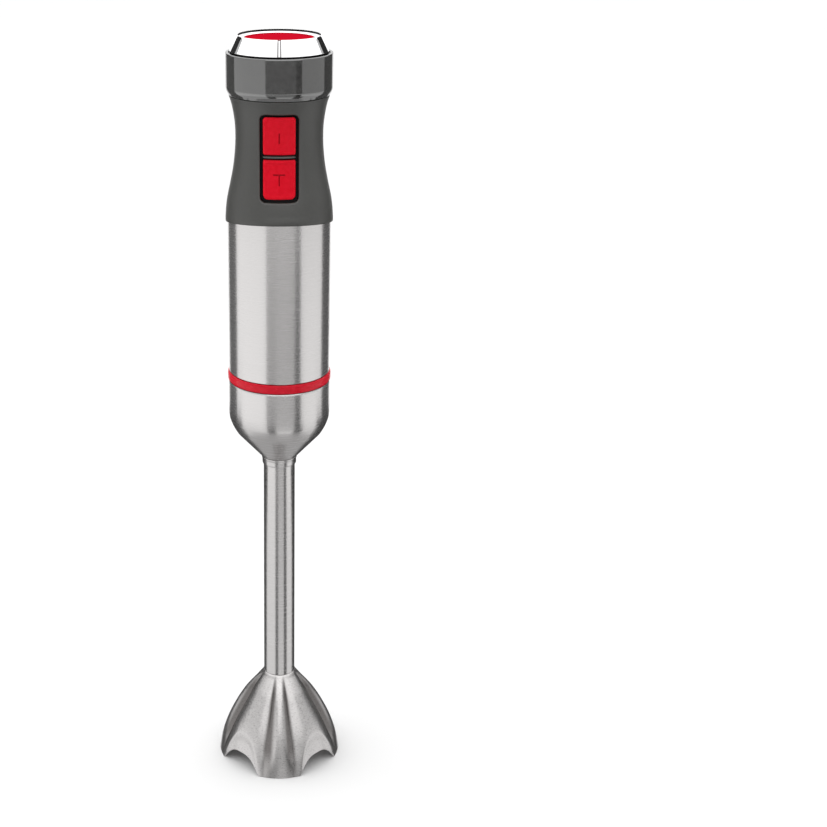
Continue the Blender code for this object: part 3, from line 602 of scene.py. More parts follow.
def speed_dial():
    top = node_box("dial_ring")[1].z
    groove = INDEX_HALF_ANGLE + INDEX_SIDE
    fine = steps_between(FRONT - groove - 0.1, FRONT + groove + 0.1, 28)
    rest = [a for a in even_angles(ROUND) if from_front(a) > groove + 0.5]
    angles = sorted(a % 360.0 for a in fine + rest)
    outline = filleted(
        (
            (24.0, top - 8.9, 0.1), (24.0, top - 7.6, 0.05), (24.25, top - 7.5, 0.2),
            (20.95, top - 0.8, 0.5), (20.45, top, 0.25), (20.1, top, 0.15),
            (20.0, top - 0.6, 0.05), (17.5, top - 1.15, 0.2), (17.1, top - 1.35, 0.1),
            (17.1, top - 3.0), (15.0, top - 3.0), (15.0, top - 4.4), (20.6, top - 4.4),
            (22.7, top - 8.9),
        ),
        support=0.1,
    )
    spans = []
    for start, end in zip(outline, outline[1:] + outline[:1]):
        spans.append(start)
        if hypot(end[0] - start[0], end[1] - start[1]) > 3.0 and min(start[0], end[0]) > 20.0:
            spans += [
                (start[0] + (end[0] - start[0]) * t, start[1] + (end[1] - start[1]) * t)
                for t in (0.25, 0.5, 0.75)
            ]
    ring = lathe(spans, angles, shape=index_groove)
    for face in ring.faces:
        x, y, z = face.calc_center_median()
        radius = hypot(x, y)
        away = from_front(degrees(atan2(y, x)))
        # Painted shade: the cone's inner wall at the top edge is black for a dark reflection, and
        # the skirt under the cone is black for the shadow gap above the collar
        inner_wall = 19.95 < radius < CONE_RADIUS and top - 0.6 < z < top - 0.02
        skirt = radius > SKIRT_RADIUS and z < top - CONE_FOOT
        if inner_wall or skirt:
            face.material_index = 2
        # Painted shade: the groove's two side walls take a grey, darker than the chrome
        elif INDEX_HALF_ANGLE < away < groove and radius > CONE_RADIUS and z > top - CONE_FOOT:
            face.material_index = 1
    piece = write("dial_chrome_ring", ring, "chrome", "dial", ["dial_ring"])
    piece.data.materials.append(LOOKS["index_groove_shade"])
    piece.data.materials.append(LOOKS["black_plastic"])
    low, high = node_box("dial_insert")
    radius = high.x
    disc = filleted(
        (
            (radius, low.z), (radius, high.z, 0.3), (radius - 1.0, high.z, 0.2),
            (radius - 1.25, high.z - 0.12, 0.1), (radius - 1.5, high.z, 0.2),
        )
    )
    disc = [(0.0, low.z)] + disc + [(8.0, high.z), (0.0, high.z)]
    turned("dial_red_disc", disc, ROUND, "red_insert", "dial", "dial_insert")


# ------------------------------------------------------------------- collar


def capsule(half_width, low, high, angle):
    """A cutter for one vent slot: a flat bar with round ends, pointing outwards."""
    bm = bmesh.new()
    outline = []
    for centre, start in ((high - half_width, 0), (low + half_width, 180)):
        for step in range(9):
            turn = radians(start + 22.5 * step)
            outline.append((half_width * cos(turn), centre + half_width * sin(turn)))
    rings = [[(x, y, z) for x, z in outline] for y in (21.0, 30.0)]
    made = skin(bm, rings, closed=False)
    cap(bm, made)
    turn = radians(angle - 90.0)
    for vert in bm.verts:
        x, y, z = vert.co
        vert.co = (x * cos(turn) - y * sin(turn), x * sin(turn) + y * cos(turn), z)
    return bm


def top_collar():
    low, high = node_box("top_collar")
    radius, top, bottom = high.x, high.z, low.z
    outline = filleted(
        (
            (radius, top, 0.45), (radius, bottom + 1.2, 1.2),
            (radius - 1.3, bottom - COLLAR_SKIRT, 0.1), (radius - 2.3, bottom - COLLAR_SKIRT),
            (radius - 2.3, top - 3.2), (5.4, top - 3.2), (5.4, top - 1.2), (24.8, top - 1.2),
            (24.8, top, 0.25),
        )
    )
    cutters = []
    for offset in VENT_OFFSETS:
        slot = capsule(VENT_HALF_WIDTH, VENT_LOW, VENT_HIGH, 90 + offset)
        cutters.append(("vent" + str(offset), slot))
    inlet = lathe(
        ((0, 18.0), (INLET_RADIUS, 18.0), (INLET_RADIUS, 32.0), (0, 32.0)),
        even_angles(48),
        axis="Y",
        centre=(0, 0, middle_height("cord_gland")),
    )
    cutters.append(("inlet", inlet))
    shell = cut("top_collar", lathe(outline, even_angles(ROUND)), cutters)
    write("collar_shell", shell, "gloss_grey", "motor_unit", ["top_collar"], 30.0)


def cord_gland():
    low, high = node_box("cord_gland")
    front, back = low.y, high.y
    ribs = []
    for i in range(4):
        y = front + 2.6 + 1.7 * i
        size = 5.85 - 0.1 * i
        ribs += [(size, y, 0.15), (size, y + 1.0, 0.15)]
        ribs += [(size - 0.5, y + 1.15), (size - 0.5, y + 1.55)]
    outline = filleted(
        [(GLAND_BORE, front), (GLAND_FLANGE, front, 0.2), (GLAND_FLANGE, front + 1.4, 0.2)]
        + [(5.4, front + 1.5)]
        + ribs
        + [(5.3, back, 0.5), (GLAND_BORE, back, 0.5)],
        support=0.1,
    )
    centre = (0, 0, middle_height("cord_gland"))
    gland = lathe(outline, even_angles(96), axis="Y", centre=centre)
    write("cord_gland_rubber", gland, "black_rubber", "motor_unit", ["cord_gland"])


# --------------------------------------------------------------------- grip


def grip_radius(height):
    return curve_through(GRIP_PROFILE, height)


def grip_point(across, height, offset):
    """A point of the grip's surface, for degrees from the front towards +X."""
    radius = grip_radius(height) + offset
    return (radius * sin(radians(across)), -radius * cos(radians(across)), height)


def rounded_rectangle(half_width, low, high, corners, count):
    """Evenly spaced points round a rectangle, from its lower left corner, by four sides.

    Each side runs between the middles of two corners, so it can face a side of a
    larger rectangle. The corner radii are for the lower and the upper pair.
    """
    middles = (
        (half_width, low, corners[0], -90), (half_width, high, corners[1], 0),
        (-half_width, high, corners[1], 90), (-half_width, low, corners[0], 180),
    )
    dense = []
    marks = []
    for x, z, corner, start in middles:
        cx = x - corner if x > 0 else x + corner
        cz = z + corner if z == low else z - corner
        for step in range(CORNER_STEPS + 1):
            turn = radians(start + 90.0 * step / CORNER_STEPS)
            if step == CORNER_STEPS // 2:
                marks.append(len(dense))
            dense.append((cx + corner * cos(turn), cz + corner * sin(turn)))
    shift = marks[3]
    dense = dense[shift:] + dense[:shift]
    ends = [(mark - shift) % len(dense) for mark in (shift, *marks[:3])] + [len(dense)]
    dense.append(dense[0])
    outline = []
    for side, (first, last) in enumerate(zip(ends, ends[1:])):
        run = dense[first : last + 1]
        lengths = [0.0]
        for a, b in zip(run, run[1:]):
            lengths.append(lengths[-1] + hypot(b[0] - a[0], b[1] - a[1]))
        steps = count[side % 2]
        index = 0
        for step in range(steps):
            wanted = lengths[-1] * step / steps
            while lengths[index + 1] < wanted:
                index += 1
            span = lengths[index + 1] - lengths[index]
            t = (wanted - lengths[index]) / span if span else 0.0
            a, b = run[index], run[index + 1]
            outline.append((a[0] + (b[0] - a[0]) * t, a[1] + (b[1] - a[1]) * t))
    return outline


def window_ring(grow, sink):
    """The window's outline on the grip, grown sideways and sunk below the surface."""
    outline = rounded_rectangle(
        WINDOW_HALF_WIDTH + grow,
        WINDOW_LOW - grow,
        WINDOW_HIGH + grow,
        (WINDOW_CORNER + grow, WINDOW_CORNER + grow),
        PATCH_COUNT,
    )
    return [(degrees(asin(x / (grip_radius(z) - sink))), z, -sink) for x, z in outline]


def patch_border():
    """The rectangle of the surface round the window, matched to the window's outline."""
    wide, tall = PATCH_COUNT
    left, right = -PATCH_HALF_ANGLE, PATCH_HALF_ANGLE
    border = [(a, PATCH_LOW, 0.0) for a in steps_between(left, right, wide)[:-1]]
    border += [(right, z, 0.0) for z in steps_between(PATCH_LOW, PATCH_HIGH, tall)[:-1]]
    border += [(a, PATCH_HIGH, 0.0) for a in steps_between(right, left, wide)[:-1]]
    border += [(left, z, 0.0) for z in steps_between(PATCH_HIGH, PATCH_LOW, tall)[:-1]]
    return border


def handle_grip():
    bm = bmesh.new()
    wide, tall = PATCH_COUNT
    border = patch_border()
    outer = window_ring(WINDOW_ROUNDING, 0.0)
    rings = []
    for step in range(9):
        t = step / 8
        t = t * (2 - t)
        rings.append([tuple(p + (q - p) * t for p, q in zip(a, b)) for a, b in zip(border, outer)])
    for step in range(1, 7):
        turn = radians(15.0 * step)
        grow = WINDOW_ROUNDING * (1 - sin(turn))
        rings.append(window_ring(grow, WINDOW_ROUNDING * (1 - cos(turn))))
    rings.append(window_ring(0.0, WINDOW_ROUNDING + 0.3))
    rings.append(window_ring(0.0, WINDOW_DEPTH))
    rings = [[grip_point(a, z, d) for a, z, d in ring] for ring in rings]
    skin(bm, rings, closed=False)

    front = steps_between(-PATCH_HALF_ANGLE, PATCH_HALF_ANGLE, wide)
    back = steps_between(PATCH_HALF_ANGLE, 360.0 - PATCH_HALF_ANGLE, 84)[1:-1]
    columns = front + back
    patch_rows = steps_between(PATCH_LOW, PATCH_HIGH, tall)
    for low, high in zip(patch_rows, patch_rows[1:]):
        around = front[-1:] + back + [360.0 - PATCH_HALF_ANGLE]
        for a, b in zip(around, around[1:]):
            quad = [(a, low), (b, low), (b, high), (a, high)]
            bm.faces.new([bm.verts.new(grip_point(p, z, 0.0)) for p, z in quad])
    top = node_box("handle_grip")[1].z - COLLAR_SKIRT
    upper = [[grip_point(a, z, 0.0) for a in columns] for z in (PATCH_HIGH, top - 0.7)]
    for drop, inset in ((0.35, 0.05), (0.1, 0.2), (0.0, 0.45), (0.0, GRIP_WALL), (6.0, GRIP_WALL)):
        upper.append([grip_point(a, top - drop, -inset) for a in columns])
    skin(bm, upper, closed=False)

    lip = [[grip_point(a, z, 0.0) for a in columns] for z in (PATCH_LOW, 315.2)]
    edge = GRIP_PROFILE[0][1]
    for radius, raised in (
        (edge, 2.6), (edge, 1.2), (edge, 0.7), (edge - 0.06, 0.35), (edge - 0.2, 0.1),
        (edge - 0.4, 0.0), (26.35, 0.0), (26.25, 6.0),
    ):
        ring = []
        for a in columns:
            height = LIP_HEIGHT + LIP_RISE * cos(radians(a)) + raised
            ring.append(on_axis(radius, height, a + FRONT))
        lip.append(ring)
    skin(bm, lip, closed=False)
    bmesh.ops.remove_doubles(bm, verts=bm.verts, dist=0.002)
    write("grip_shell", bm, "soft_grey", "motor_unit", ["handle_grip"], 50.0)


# ------------------------------------------------------------------ buttons


def front_point(x, z, offset):
    """A point over the grip's front, at an offset from its surface."""
    radius = grip_radius(z) + offset
    return (x, -sqrt(radius**2 - x**2), z)


def front_slab(half_width, low, high, outer, inner):
    """A block whose front follows the grip at an offset, and whose back is flat."""
    bm = bmesh.new()
    heights = steps_between(low, high, 24)
    across = steps_between(-half_width, half_width, 24)
    rings = []
    for z in heights:
        ring = [front_point(x, z, outer) for x in across]
        ring += [(half_width, inner, z), (-half_width, inner, z)]
        rings.append(ring)
    made = skin(bm, rings, closed=False)
    cap(bm, made)
    return bm


def opening(half_width, low, high, corners):
    """A cutter through the front, a rounded rectangle."""
    bm = bmesh.new()
    outline = rounded_rectangle(half_width, low, high, corners, (24, 24))
    rings = [[(x, y, z) for x, z in outline] for y in (-31.0, -12.0)]
    made = skin(bm, rings, closed=False)
    cap(bm, made)
    return bm


def mark_distance(x, z, strokes):
    """How far a point of the cap's face is from the nearest stroke of its mark."""
    nearest = 99.0
    for start, end in strokes:
        along = Vector(end) - Vector(start)
        away = Vector((x, z)) - Vector(start)
        share = min(max(away.dot(along) / along.length_squared, 0.0), 1.0)
        nearest = min(nearest, (away - along * share).length)
    return nearest


def button_height(inside, x, z, strokes):
    """Height of the cap's face: a soft edge, a raised rim, a dished face and its mark."""
    edge = -0.55 * (1.0 - smooth(inside / 0.75)) ** 1.5
    dish = -0.22 * smooth((inside - BUTTON_RIM) / 0.7)
    mark = smooth((MARK_HALF_STROKE + 0.12 - mark_distance(x, z, strokes)) / 0.24)
    return BUTTON_OFFSET + edge + dish - MARK_DEPTH * mark


def push_button(node, name, body, corners, strokes):
    low, high = node_box(node)
    reach = high.x
    bm = bmesh.new()
    middle = middle_height(node)
    outline = rounded_rectangle(reach, low.z, high.z, corners, (60, 72))
    rings = []
    for sink in (-3.4, -1.6, -0.75):
        rings.append([front_point(x, z, BUTTON_OFFSET + sink) for x, z in outline])
    insets = [0.0, 0.06, 0.14, 0.24, 0.36, 0.5, 0.65, 0.8, 0.95, 1.1, 1.25, 1.4, 1.6, 1.85]
    insets += [1.85 + (reach - 1.95) * i / 64 for i in range(1, 65)]
    for inset in insets:
        ring = []
        share = 1.0 - inset / reach
        for x, z in outline:
            px = x * share
            pz = middle + (z - middle) * share
            ring.append(front_point(px, pz, button_height(inset, px, pz, strokes)))
        rings.append(ring)
    made = skin(bm, rings, closed=False)
    bm.faces.new(made[-1])
    bm.faces.new(made[0])
    # Painted shade: the faces in the mark's engraved strokes take a darker red
    for face in bm.faces:
        x, y, z = face.calc_center_median()
        if y < -grip_radius(z) + 1.5 and mark_distance(x, z, strokes) < MARK_HALF_STROKE:
            face.material_index = 1
    piece = write(name, bm, "red_button", body, [node], 60.0)
    piece.data.materials.append(LOOKS["red_mark_shade"])


def buttons():
    middle = middle_height("on_button")
    push_button(
        "on_button", "on_button_cap", "on_button", (0.9, 1.6),
        [((0.0, middle - 3.5), (0.0, middle + 1.2))],
    )
    middle = middle_height("turbo_button")
    push_button(
        "turbo_button", "turbo_button_cap", "turbo_button", (2.3, 0.9),
        [
            ((0.0, middle - 2.7), (0.0, middle + 2.3)),
            ((-2.7, middle + 2.3), (2.7, middle + 2.3)),
        ],
    )


def bezel_and_divider():
    on_low, on_high = node_box("on_button")
    turbo_low, turbo_high = node_box("turbo_button")
    half = on_high.x
    slab = front_slab(WINDOW_HALF_WIDTH - 0.1, WINDOW_LOW + 0.1, WINDOW_HIGH - 0.1, -1.0, -17.9)
    limits = opening(
        WINDOW_HALF_WIDTH - 0.15, WINDOW_LOW + 0.15, WINDOW_HIGH - 0.15, (2.4, 2.4)
    )
    cutters = [
        ("edge_limits", limits),
        ("on_hole", opening(half + 0.3, on_low.z - 0.3, on_high.z + 0.3, (1.1, 1.8))),
        ("turbo_hole", opening(half + 0.3, turbo_low.z - 0.3, turbo_high.z + 0.3, (2.5, 1.1))),
    ]
    bezel = cut("bezel", slab, cutters)
    write("button_surround", bezel, "black_plastic", "motor_unit", ["button_bezel"], 30.0)

    low, high = node_box("button_divider")
    bm = bmesh.new()
    middle = (low.z + high.z) / 2
    half_height = (high.z - low.z) / 2
    across = steps_between(-DIVIDER_HALF_WIDTH, DIVIDER_HALF_WIDTH, 40)
    section = (
        (-1.6, -1.0), (-0.3, -1.0), (0.0, -0.75), (0.12, -0.3), (0.12, 0.3), (0.0, 0.75),
        (-0.3, 1.0), (-1.6, 1.0),
    )
    rings = []
    for x in across:
        taper = sqrt(max(0.05, 1.0 - (x / (DIVIDER_HALF_WIDTH + 0.05)) ** 8))
        ring = []
        for out, up in section:
            z = middle + up * half_height * taper
            ring.append(front_point(x, z, 0.1 + out * (2 - taper)))
        rings.append(ring)
    made = skin(bm, rings, closed=False)
    cap(bm, made)
    write("divider_bar", bm, "soft_grey", "motor_unit", ["button_divider"], 50.0)


# ------------------------------------------------------------- motor section


def steel_sleeves():
    low, high = node_box("motor_housing")
    radius = high.x
    sleeve = filleted(
        (
            (radius, high.z, 0.2), (radius, low.z, 0.35), (radius - STEEL_WALL, low.z),
            (radius - STEEL_WALL, high.z),
        )
    )
    turned("motor_sleeve", sleeve, ROUND, "brushed_steel", "motor_unit", "motor_housing")
    low, high = node_box("trim_ring")
    radius = high.x
    outline = filleted(
        (
            (radius - 0.35, high.z, 0.3), (radius - 0.06, high.z - 0.75, 0.4),
            (radius, middle_height("trim_ring")), (radius - 0.06, low.z + 0.75, 0.4),
            (radius - 0.35, low.z, 0.3),
            (radius - 1.5, low.z), (radius - 1.5, high.z),
        ),
        support=0.1,
    )
    turned("red_trim_ring", outline, ROUND, "red_ring", "motor_unit", "trim_ring")


# --------------------------------------------------------------------- foot


def foot():
    low, high = node_box("foot_shell")
    heights = steps_between(FOOT_PROFILE[1][0], FOOT_PROFILE[-2][0], 20)
    outside = [(FOOT_PROFILE[0][1], low.z), (10.2, low.z + 0.88)]
    outside += [(curve_through(FOOT_PROFILE, z), z) for z in heights]
    outside += [(26.35, high.z - 1.0), (26.3, high.z - 0.35), (26.15, high.z)]
    inside = [(25.5, high.z), (25.6, 209.5), (25.2, 203.7), (22.6, 197.3), (8.62, 181.3)]
    outline = outside + inside + [(8.62, low.z)]
    turned("foot_shell_skin", outline, ROUND, "brushed_steel", "foot", "foot_shell")
    low, high = node_box("neck_collar")
    outline = filleted(
        (
            (9.4, high.z, 0.15), (9.3, high.z - 0.7, 0.2), (9.02, high.z - 1.4, 0.3),
            (8.95, low.z + 0.5, 0.3), (8.7, low.z, 0.2), (8.5, low.z), (8.5, high.z),
        ),
        support=0.08,
    )
    turned("neck_collar_ring", outline, ROUND, "brushed_steel", "foot", "neck_collar")
    low, high = node_box("shaft_tube")
    radius = high.x
    tube = filleted(
        (
            (radius - TUBE_TAPER, high.z), (radius, low.z), (radius - TUBE_WALL, low.z),
            (radius - TUBE_WALL, high.z),
        )
    )
    turned("shaft_tube_skin", tube, 128, "brushed_steel", "foot", "shaft_tube")
    low, high = node_box("foot_seal")
    wire = (high.z - low.z) / 2
    middle = high.x - wire
    section = []
    for step in range(20):
        turn = radians(18.0 * step)
        section.append((middle + wire * cos(turn), low.z + wire + wire * sin(turn)))
    turned("seal_ring", section, 128, "black_rubber", "seal", "foot_seal")


# --------------------------------------------------------------------- bell


def rib_distance(angle):
    """Degrees from the nearest rib, from 0 to 45."""
    turned = (angle - FRONT) % 90.0
    return min(turned, 90.0 - turned)


def relief(angle, height):
    """How far the sheet lies inside the rib line: a crease each side of a rib."""
    away = rib_distance(angle)
    valley = curve_through(VALLEY_DEPTHS, height)
    panel = curve_through(PANEL_DEPTHS, height)
    if away < VALLEY_ANGLE:
        return valley * (away / VALLEY_ANGLE) ** 1.8
    across = (away - VALLEY_ANGLE) / (45.0 - VALLEY_ANGLE)
    return panel + (valley - panel) * (1.0 - across) ** 3


def scallop(angle):
    """Height of the rim: the arches between the four feet."""
    away = rib_distance(angle)
    if away <= FOOT_HALF_ANGLE:
        return 0.0
    across = (45.0 - away) / (45.0 - FOOT_HALF_ANGLE)
    return SCALLOP_HEIGHT * (1.0 - across**2.6)


def hood(angle, above):
    """How far the sheet is pressed in over each arch, with a soft crease round it."""
    away = rib_distance(angle)
    across = (45.0 - away) / (45.0 - FOOT_HALF_ANGLE)
    reach = HOOD_HEIGHT * sqrt(max(0.0, 1.0 - (across * 1.05) ** 2))
    if reach <= 0.0:
        return 0.0
    rise = smooth((reach - above) / (0.55 * reach + 0.5))
    return HOOD_DEPTH * rise * smooth(1.8 * (1.0 - across))


def bell_point(angle, height, wall):
    """A point of the bell's sheet, whose height follows the scalloped rim near the rim."""
    rim = scallop(angle)
    lifted = height
    if height < SCALLOP_BLEND:
        lifted = rim + height * (1.0 - rim / SCALLOP_BLEND)
    radius = curve_through(BELL_PROFILE, lifted)
    slope = (curve_through(BELL_PROFILE, lifted + SHEET_STEP) - radius) / SHEET_STEP
    radius -= relief(angle, lifted) + wall * hypot(1.0, min(abs(slope), 1.0))
    radius -= hood(angle, lifted - rim)
    return on_axis(radius, lifted, angle)


def bell_shade_factor(angle, height):
    """One on the crests and the panels, and zero deep in a crease, where the most shade is
    painted.
    """
    away = rib_distance(angle)
    depth = 0.25 + curve_through(VALLEY_DEPTHS, height) / 3.5
    if away < VALLEY_ANGLE:
        dark = smooth((away - 4.5) / 6.0)
    else:
        dark = 1.0 - smooth((away - VALLEY_ANGLE) / 4.0)
    return 1.0 - dark * min(1.0, depth) * smooth((BELL_TOP - height) / 3.0)


def bell():
    angles = even_angles(288)
    rings = []
    for wall, height in (
        (0.6, 0.0), (0.3, 0.0), (0.12, 0.06), (0.03, 0.18), (0.0, 0.4), (0.0, 0.8),
    ):
        rings.append([bell_point(a, height, wall) for a in angles])
    for height in steps_between(1.5, 49.3, 60):
        rings.append([bell_point(a, height, 0.0) for a in angles])
    for radius, height in (
        (9.0, 50.1), (TUBE_RADIUS + 0.12, 50.45), (TUBE_RADIUS, BELL_TOP), (7.4, BELL_TOP),
        (7.4, 60.0), (5.3, 60.0), (5.3, 40.3), (5.6, 40.0), (7.3, 40.0), (7.6, 40.3),
        (7.6, 43.6),
    ):
        rings.append([on_axis(radius, height, a) for a in angles])
    for height in steps_between(40.0, 1.0, 30):
        rings.append([bell_point(a, height, BELL_WALL) for a in angles])
    for wall, height in ((1.0, 0.3), (0.95, 0.1), (0.8, 0.02)):
        rings.append([bell_point(a, height, wall) for a in angles])
    bm = bmesh.new()
    made = skin(bm, rings, closed=True)
    inner = {vert for ring in made[OUTER_RINGS:] for vert in ring}
    # Painted shade: a factor for each vertex that darkens the steel's colour in the creases and on
    # the rib flanks
    shade_factor = bm.verts.layers.float.new("shade_factor")
    for vert in bm.verts:
        x, y, z = vert.co
        vert[shade_factor] = bell_shade_factor(degrees(atan2(y, x)), z)
    # Painted shade: the inner faces take a darker steel for the dark inside of the bell
    for face in bm.faces:
        if all(vert in inner for vert in face.verts):
            face.material_index = 1
    piece = write("bell_skin", bm, "satin_steel", "foot", ["bell"], 60.0)
    piece.data.materials.append(LOOKS["shadowed_steel"])


# -------------------------------------------------------------------- blade


def blade():
    bm = bmesh.new()
    rings = []
    for x in steps_between(-BLADE_LENGTH, BLADE_LENGTH, 56):
        away = abs(x)
        bend = BLADE_BEND * smooth((away - 7.5) / 20.0)
        height = BLADE_HEIGHT + bend * (1.0 if x < 0 else -0.72)
        width = 4.6 - 3.0 * smooth((away - 8.0) / 15.0)
        thick = BLADE_HALF_THICKNESS * (1.0 - smooth((away - 19.2) / 2.2) * 0.75)
        flat = width - min(2.2, width * 0.6)
        section = (
            (-width, -BLADE_EDGE), (-width, BLADE_EDGE), (-flat, thick), (flat, thick),
            (width, BLADE_EDGE), (width, -BLADE_EDGE), (flat, -thick), (-flat, -thick),
        )
        rings.append([(x, y, height + z) for y, z in section])
    made = skin(bm, rings, closed=False)
    cap(bm, made)
    write("blade_wings", bm, "blade_steel", "blade", ["blade"], 20.0)
    low, high = node_box("blade_nut")
    radius = high.x
    nut = filleted(
        (
            (radius - 0.6, low.z, 0.5), (radius, low.z + 0.7, 0.3), (radius, high.z, 0.2),
            (2.1, high.z),
        ),
        support=0.1,
    )
    nut = [(0.0, low.z)] + nut + [(2.1, low.z + 1.0), (0.0, low.z + 1.0)]
    turned("blade_cap_nut", nut, 64, "blade_steel", "blade", "blade_nut")
    low, high = node_box("drive_shaft")
    outline = filleted(
        (
            (2.0, high.z, 0.3), (2.0, 17.0), (3.4, 17.0, 0.3), (3.4, 13.5, 0.3), (2.0, 13.5),
            (2.0, low.z, 0.2),
        ),
        support=0.1,
    )
    outline = [(0.0, high.z)] + outline + [(0.0, low.z)]
    turned("drive_spindle", outline, 48, "bearing_steel", "blade", "drive_shaft")


# ------------------------------------------------------------------- studio

CAMERA_DISTANCE = 0.776
CAMERA_HEIGHT = 0.503
CAMERA_PITCH = 21.1
CAMERA_LENS = 68.65
CAMERA_SHIFT = 0.1623
CAMERA_RISE = 0.0007

CARD_RADIUS = 0.9

# Reflection cards: azimuths from the camera towards +X, lowest and highest edge, and the
# brightness at each edge
CARDS = (
    ("flag_left", -152, -110, -0.9, 0.28, 0.16, 0.16),
    ("flag_left_high", -152, -126, 0.28, 0.75, 0.05, 0.02),
    ("fade_left_high", -126, -118, 0.28, 0.75, 0.50, 0.50),
    ("softbox_left_low", -110, -24, -0.9, -0.20, 0.92, 0.92),
    ("softbox_left", -110, -29, -0.20, 0.18, 1.35, 1.15),
    ("softbox_left_high", -110, -29, 0.18, 0.6, 0.86, 0.66),
    ("edge_left", -29, -8, -0.9, -0.22, 0.16, 0.12),
    ("edge_right", 41, 59, -0.9, -0.22, 0.14, 0.10),
    ("grey_card_low", -29, 35.5, -0.9, -0.12, 1.25, 0.50),
    ("grey_card", -29, 35.5, -0.12, 0.12, 0.55, 0.36),
    ("grey_card_high", -29, 35.5, 0.20, 0.29, 0.26, 0.24),
    ("flag_front", 35.5, 48.5, -0.9, 0.12, 0.20, 0.04),
    ("glow_above_low", -29, 48.5, 0.29, 0.75, 1.50, 1.50),
    ("glow_between", -29, 48.5, 0.125, 0.195, 1.20, 1.20),
    ("flag_front_high", 35.5, 48.5, 0.20, 0.29, 0.10, 0.10),
    ("softbox_right_low", 48.5, 110, -0.9, -0.20, 0.90, 0.90),
    ("softbox_right", 48.5, 110, -0.20, 0.18, 1.25, 0.95),
    ("softbox_right_high", 48.5, 110, 0.18, 0.6, 0.56, 0.76),
    ("flag_right", 110, 152, -0.9, 0.28, 0.12, 0.12),
    ("flag_right_high", 126, 152, 0.28, 0.75, 0.03, 0.02),
    ("fade_right_high", 118, 126, 0.28, 0.75, 0.50, 0.50),
    ("white_behind", 152, 208, -0.9, 0.75, 1.10, 1.30),
)
NEAR_CARDS = (
    ("near_flag_left", -125, -93, 0.045, 0.115, 0.06, 0.06),
    ("side_flag_left", -172, -125, -0.12, 0.115, 0.08, 0.08),
    ("near_flag_right", 93, 125, 0.045, 0.115, 0.04, 0.04),
    ("side_flag_right", 125, 172, -0.12, 0.115, 0.06, 0.06),
)
NEAR_RADIUS = 0.25
EDGE_RADIUS = 0.88
EDGE_CARDS = ("edge_left", "edge_right")  # these hang in front of the cards behind them
FLOOR_CARD = 0.50
FLOOR_CARD_HEIGHT = -0.9
FLOOR_SIZE = 6.0
BACKDROP_RADIUS = 5.5
BACKDROP_HEIGHT = 12.0
BACKDROP_GLOW = 1.2
KEY_PLACE = (-1.3, 0.0, 1.1)
KEY_SIZE = 2.0
KEY_POWER = 7.0
AIM = (0.0, 0.0, 0.2)
SKY_LOW = 0.05
SKY_HIGH = 1.75
SKY_TOWARDS = (0.0, 0.34, 0.94)


def card_material(name, bottom, top, low, high):
    """A glow that runs from one brightness at the card's lower edge to another at its upper."""
    made = bpy.data.materials.new(name)
    made.use_nodes = True
    tree = made.node_tree
    tree.nodes.clear()
    output = tree.nodes.new("ShaderNodeOutputMaterial")
    glow = tree.nodes.new("ShaderNodeEmission")
    coordinates = tree.nodes.new("ShaderNodeTexCoord")
    split = tree.nodes.new("ShaderNodeSeparateXYZ")
    linked(tree, coordinates.outputs["Object"], split.inputs["Vector"])
    linked(tree, spread(tree, split.outputs["Z"], low, high, bottom, top), glow.inputs["Strength"])
    linked(tree, glow.outputs["Emission"], output.inputs["Surface"])
    return made


def stage_piece(name, bm, material, hidden_from):
    """A piece of the studio, hidden from the named kinds of ray."""
    mesh = bpy.data.meshes.new(name)
    bm.to_mesh(mesh)
    bm.free()
    mesh.materials.append(material)
    obj = bpy.data.objects.new(name, mesh)
    bpy.context.scene.collection.objects.link(obj)
    for ray in hidden_from:
        setattr(obj, "visible_" + ray, False)


def show_in_reflections_only(name, bm, material):
    stage_piece(name, bm, material, ("camera", "diffuse", "shadow", "transmission"))


def card(radius, name, start, end, bottom, top, low, high):
    """A curved panel round the object."""
    bm = bmesh.new()
    columns = []
    for azimuth in steps_between(start, end, max(2, int((end - start) / 4))):
        x = radius * sin(radians(azimuth))
        y = -radius * cos(radians(azimuth))
        columns.append([bm.verts.new((x, y, z)) for z in (bottom, top)])
    for first, second in zip(columns, columns[1:]):
        bm.faces.new((first[0], second[0], second[1], first[1]))
    show_in_reflections_only(name, bm, card_material(name, bottom, top, low, high))


def floor_card():
    """What metal that faces down reflects."""
    bm = bmesh.new()
    bmesh.ops.create_circle(bm, cap_ends=True, segments=64, radius=CARD_RADIUS)
    bmesh.ops.translate(bm, vec=(0.0, 0.0, FLOOR_CARD_HEIGHT), verts=bm.verts)
    material = card_material("floor_card", -1.0, 0.0, FLOOR_CARD, FLOOR_CARD)
    show_in_reflections_only("floor_card", bm, material)


def floor():
    bm = bmesh.new()
    bmesh.ops.create_grid(bm, x_segments=1, y_segments=1, size=FLOOR_SIZE)
    made = finish(
        "floor_white",
        ((0.665, 0.665, 0.665), (0.68, 0.68, 0.68)),
        (0.80, 0.90),
        speckle(3),
        Specular_IOR_Level=0.0,
    )
    stage_piece("floor", bm, made, ("glossy",))


def backdrop():
    """A white wall that only the camera sees, behind the far edge of the floor."""
    bm = bmesh.new()
    bmesh.ops.create_cone(
        bm, segments=48, radius1=BACKDROP_RADIUS, radius2=BACKDROP_RADIUS, depth=BACKDROP_HEIGHT
    )
    material = card_material("backdrop", -1.0, 0.0, BACKDROP_GLOW, BACKDROP_GLOW)
    hidden_from = ("diffuse", "glossy", "shadow", "transmission", "volume_scatter")
    stage_piece("backdrop", bm, material, hidden_from)


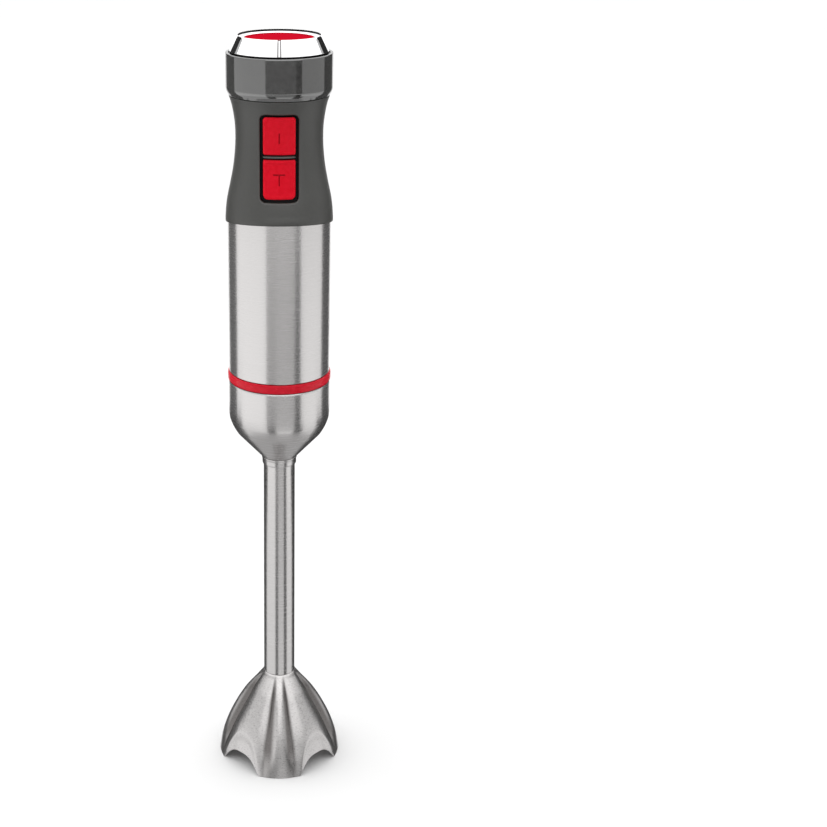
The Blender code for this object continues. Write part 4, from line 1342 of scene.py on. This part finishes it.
def area_light(name, place_at, size, power):
    """A soft light that shows in no reflection."""
    light = bpy.data.lights.new(name, "AREA")
    light.shape = "DISK"
    light.size = size
    light.energy = power
    obj = bpy.data.objects.new(name, light)
    obj.location = place_at
    aim = Vector(AIM) - Vector(place_at)
    obj.rotation_euler = aim.to_track_quat("-Z", "Y").to_euler()
    obj.visible_glossy = False
    bpy.context.scene.collection.objects.link(obj)


def sky():
    """A room that is bright from above and a little behind, and nearly dark from below."""
    world = bpy.data.worlds.new("white_room")
    world.use_nodes = True
    tree = world.node_tree
    coordinates = tree.nodes.new("ShaderNodeTexCoord")
    facing = tree.nodes.new("ShaderNodeVectorMath")
    facing.operation = "DOT_PRODUCT"
    facing.inputs[1].default_value = SKY_TOWARDS
    linked(tree, coordinates.outputs["Generated"], facing.inputs[0])
    strength = spread(tree, facing.outputs["Value"], SKY_LOW, SKY_HIGH, 0.0, 0.55)
    linked(tree, strength, tree.nodes["Background"].inputs["Strength"])
    tree.nodes["Background"].inputs["Color"].default_value = (1.0, 1.0, 1.0, 1.0)
    return world


def studio():
    floor()
    backdrop()
    floor_card()
    for settings in CARDS:
        card(EDGE_RADIUS if settings[0] in EDGE_CARDS else CARD_RADIUS, *settings)
    for settings in NEAR_CARDS:
        card(NEAR_RADIUS, *settings)
    scene = bpy.context.scene
    scene.world = sky()
    area_light("key_left", KEY_PLACE, KEY_SIZE, KEY_POWER)
    scene.view_settings.view_transform = "Standard"
    data = bpy.data.cameras.new("camera")
    data.lens = CAMERA_LENS
    data.shift_x = CAMERA_SHIFT
    data.shift_y = CAMERA_RISE
    camera = bpy.data.objects.new("camera", data)
    camera.location = (0.0, -CAMERA_DISTANCE, CAMERA_HEIGHT)
    camera.rotation_euler = (radians(90.0 - CAMERA_PITCH), 0.0, 0.0)
    scene.collection.objects.link(camera)
    scene.camera = camera


finish_kept_nodes()
speed_dial()
top_collar()
cord_gland()
handle_grip()
buttons()
bezel_and_divider()
steel_sleeves()
foot()
bell()
blade()
studio()
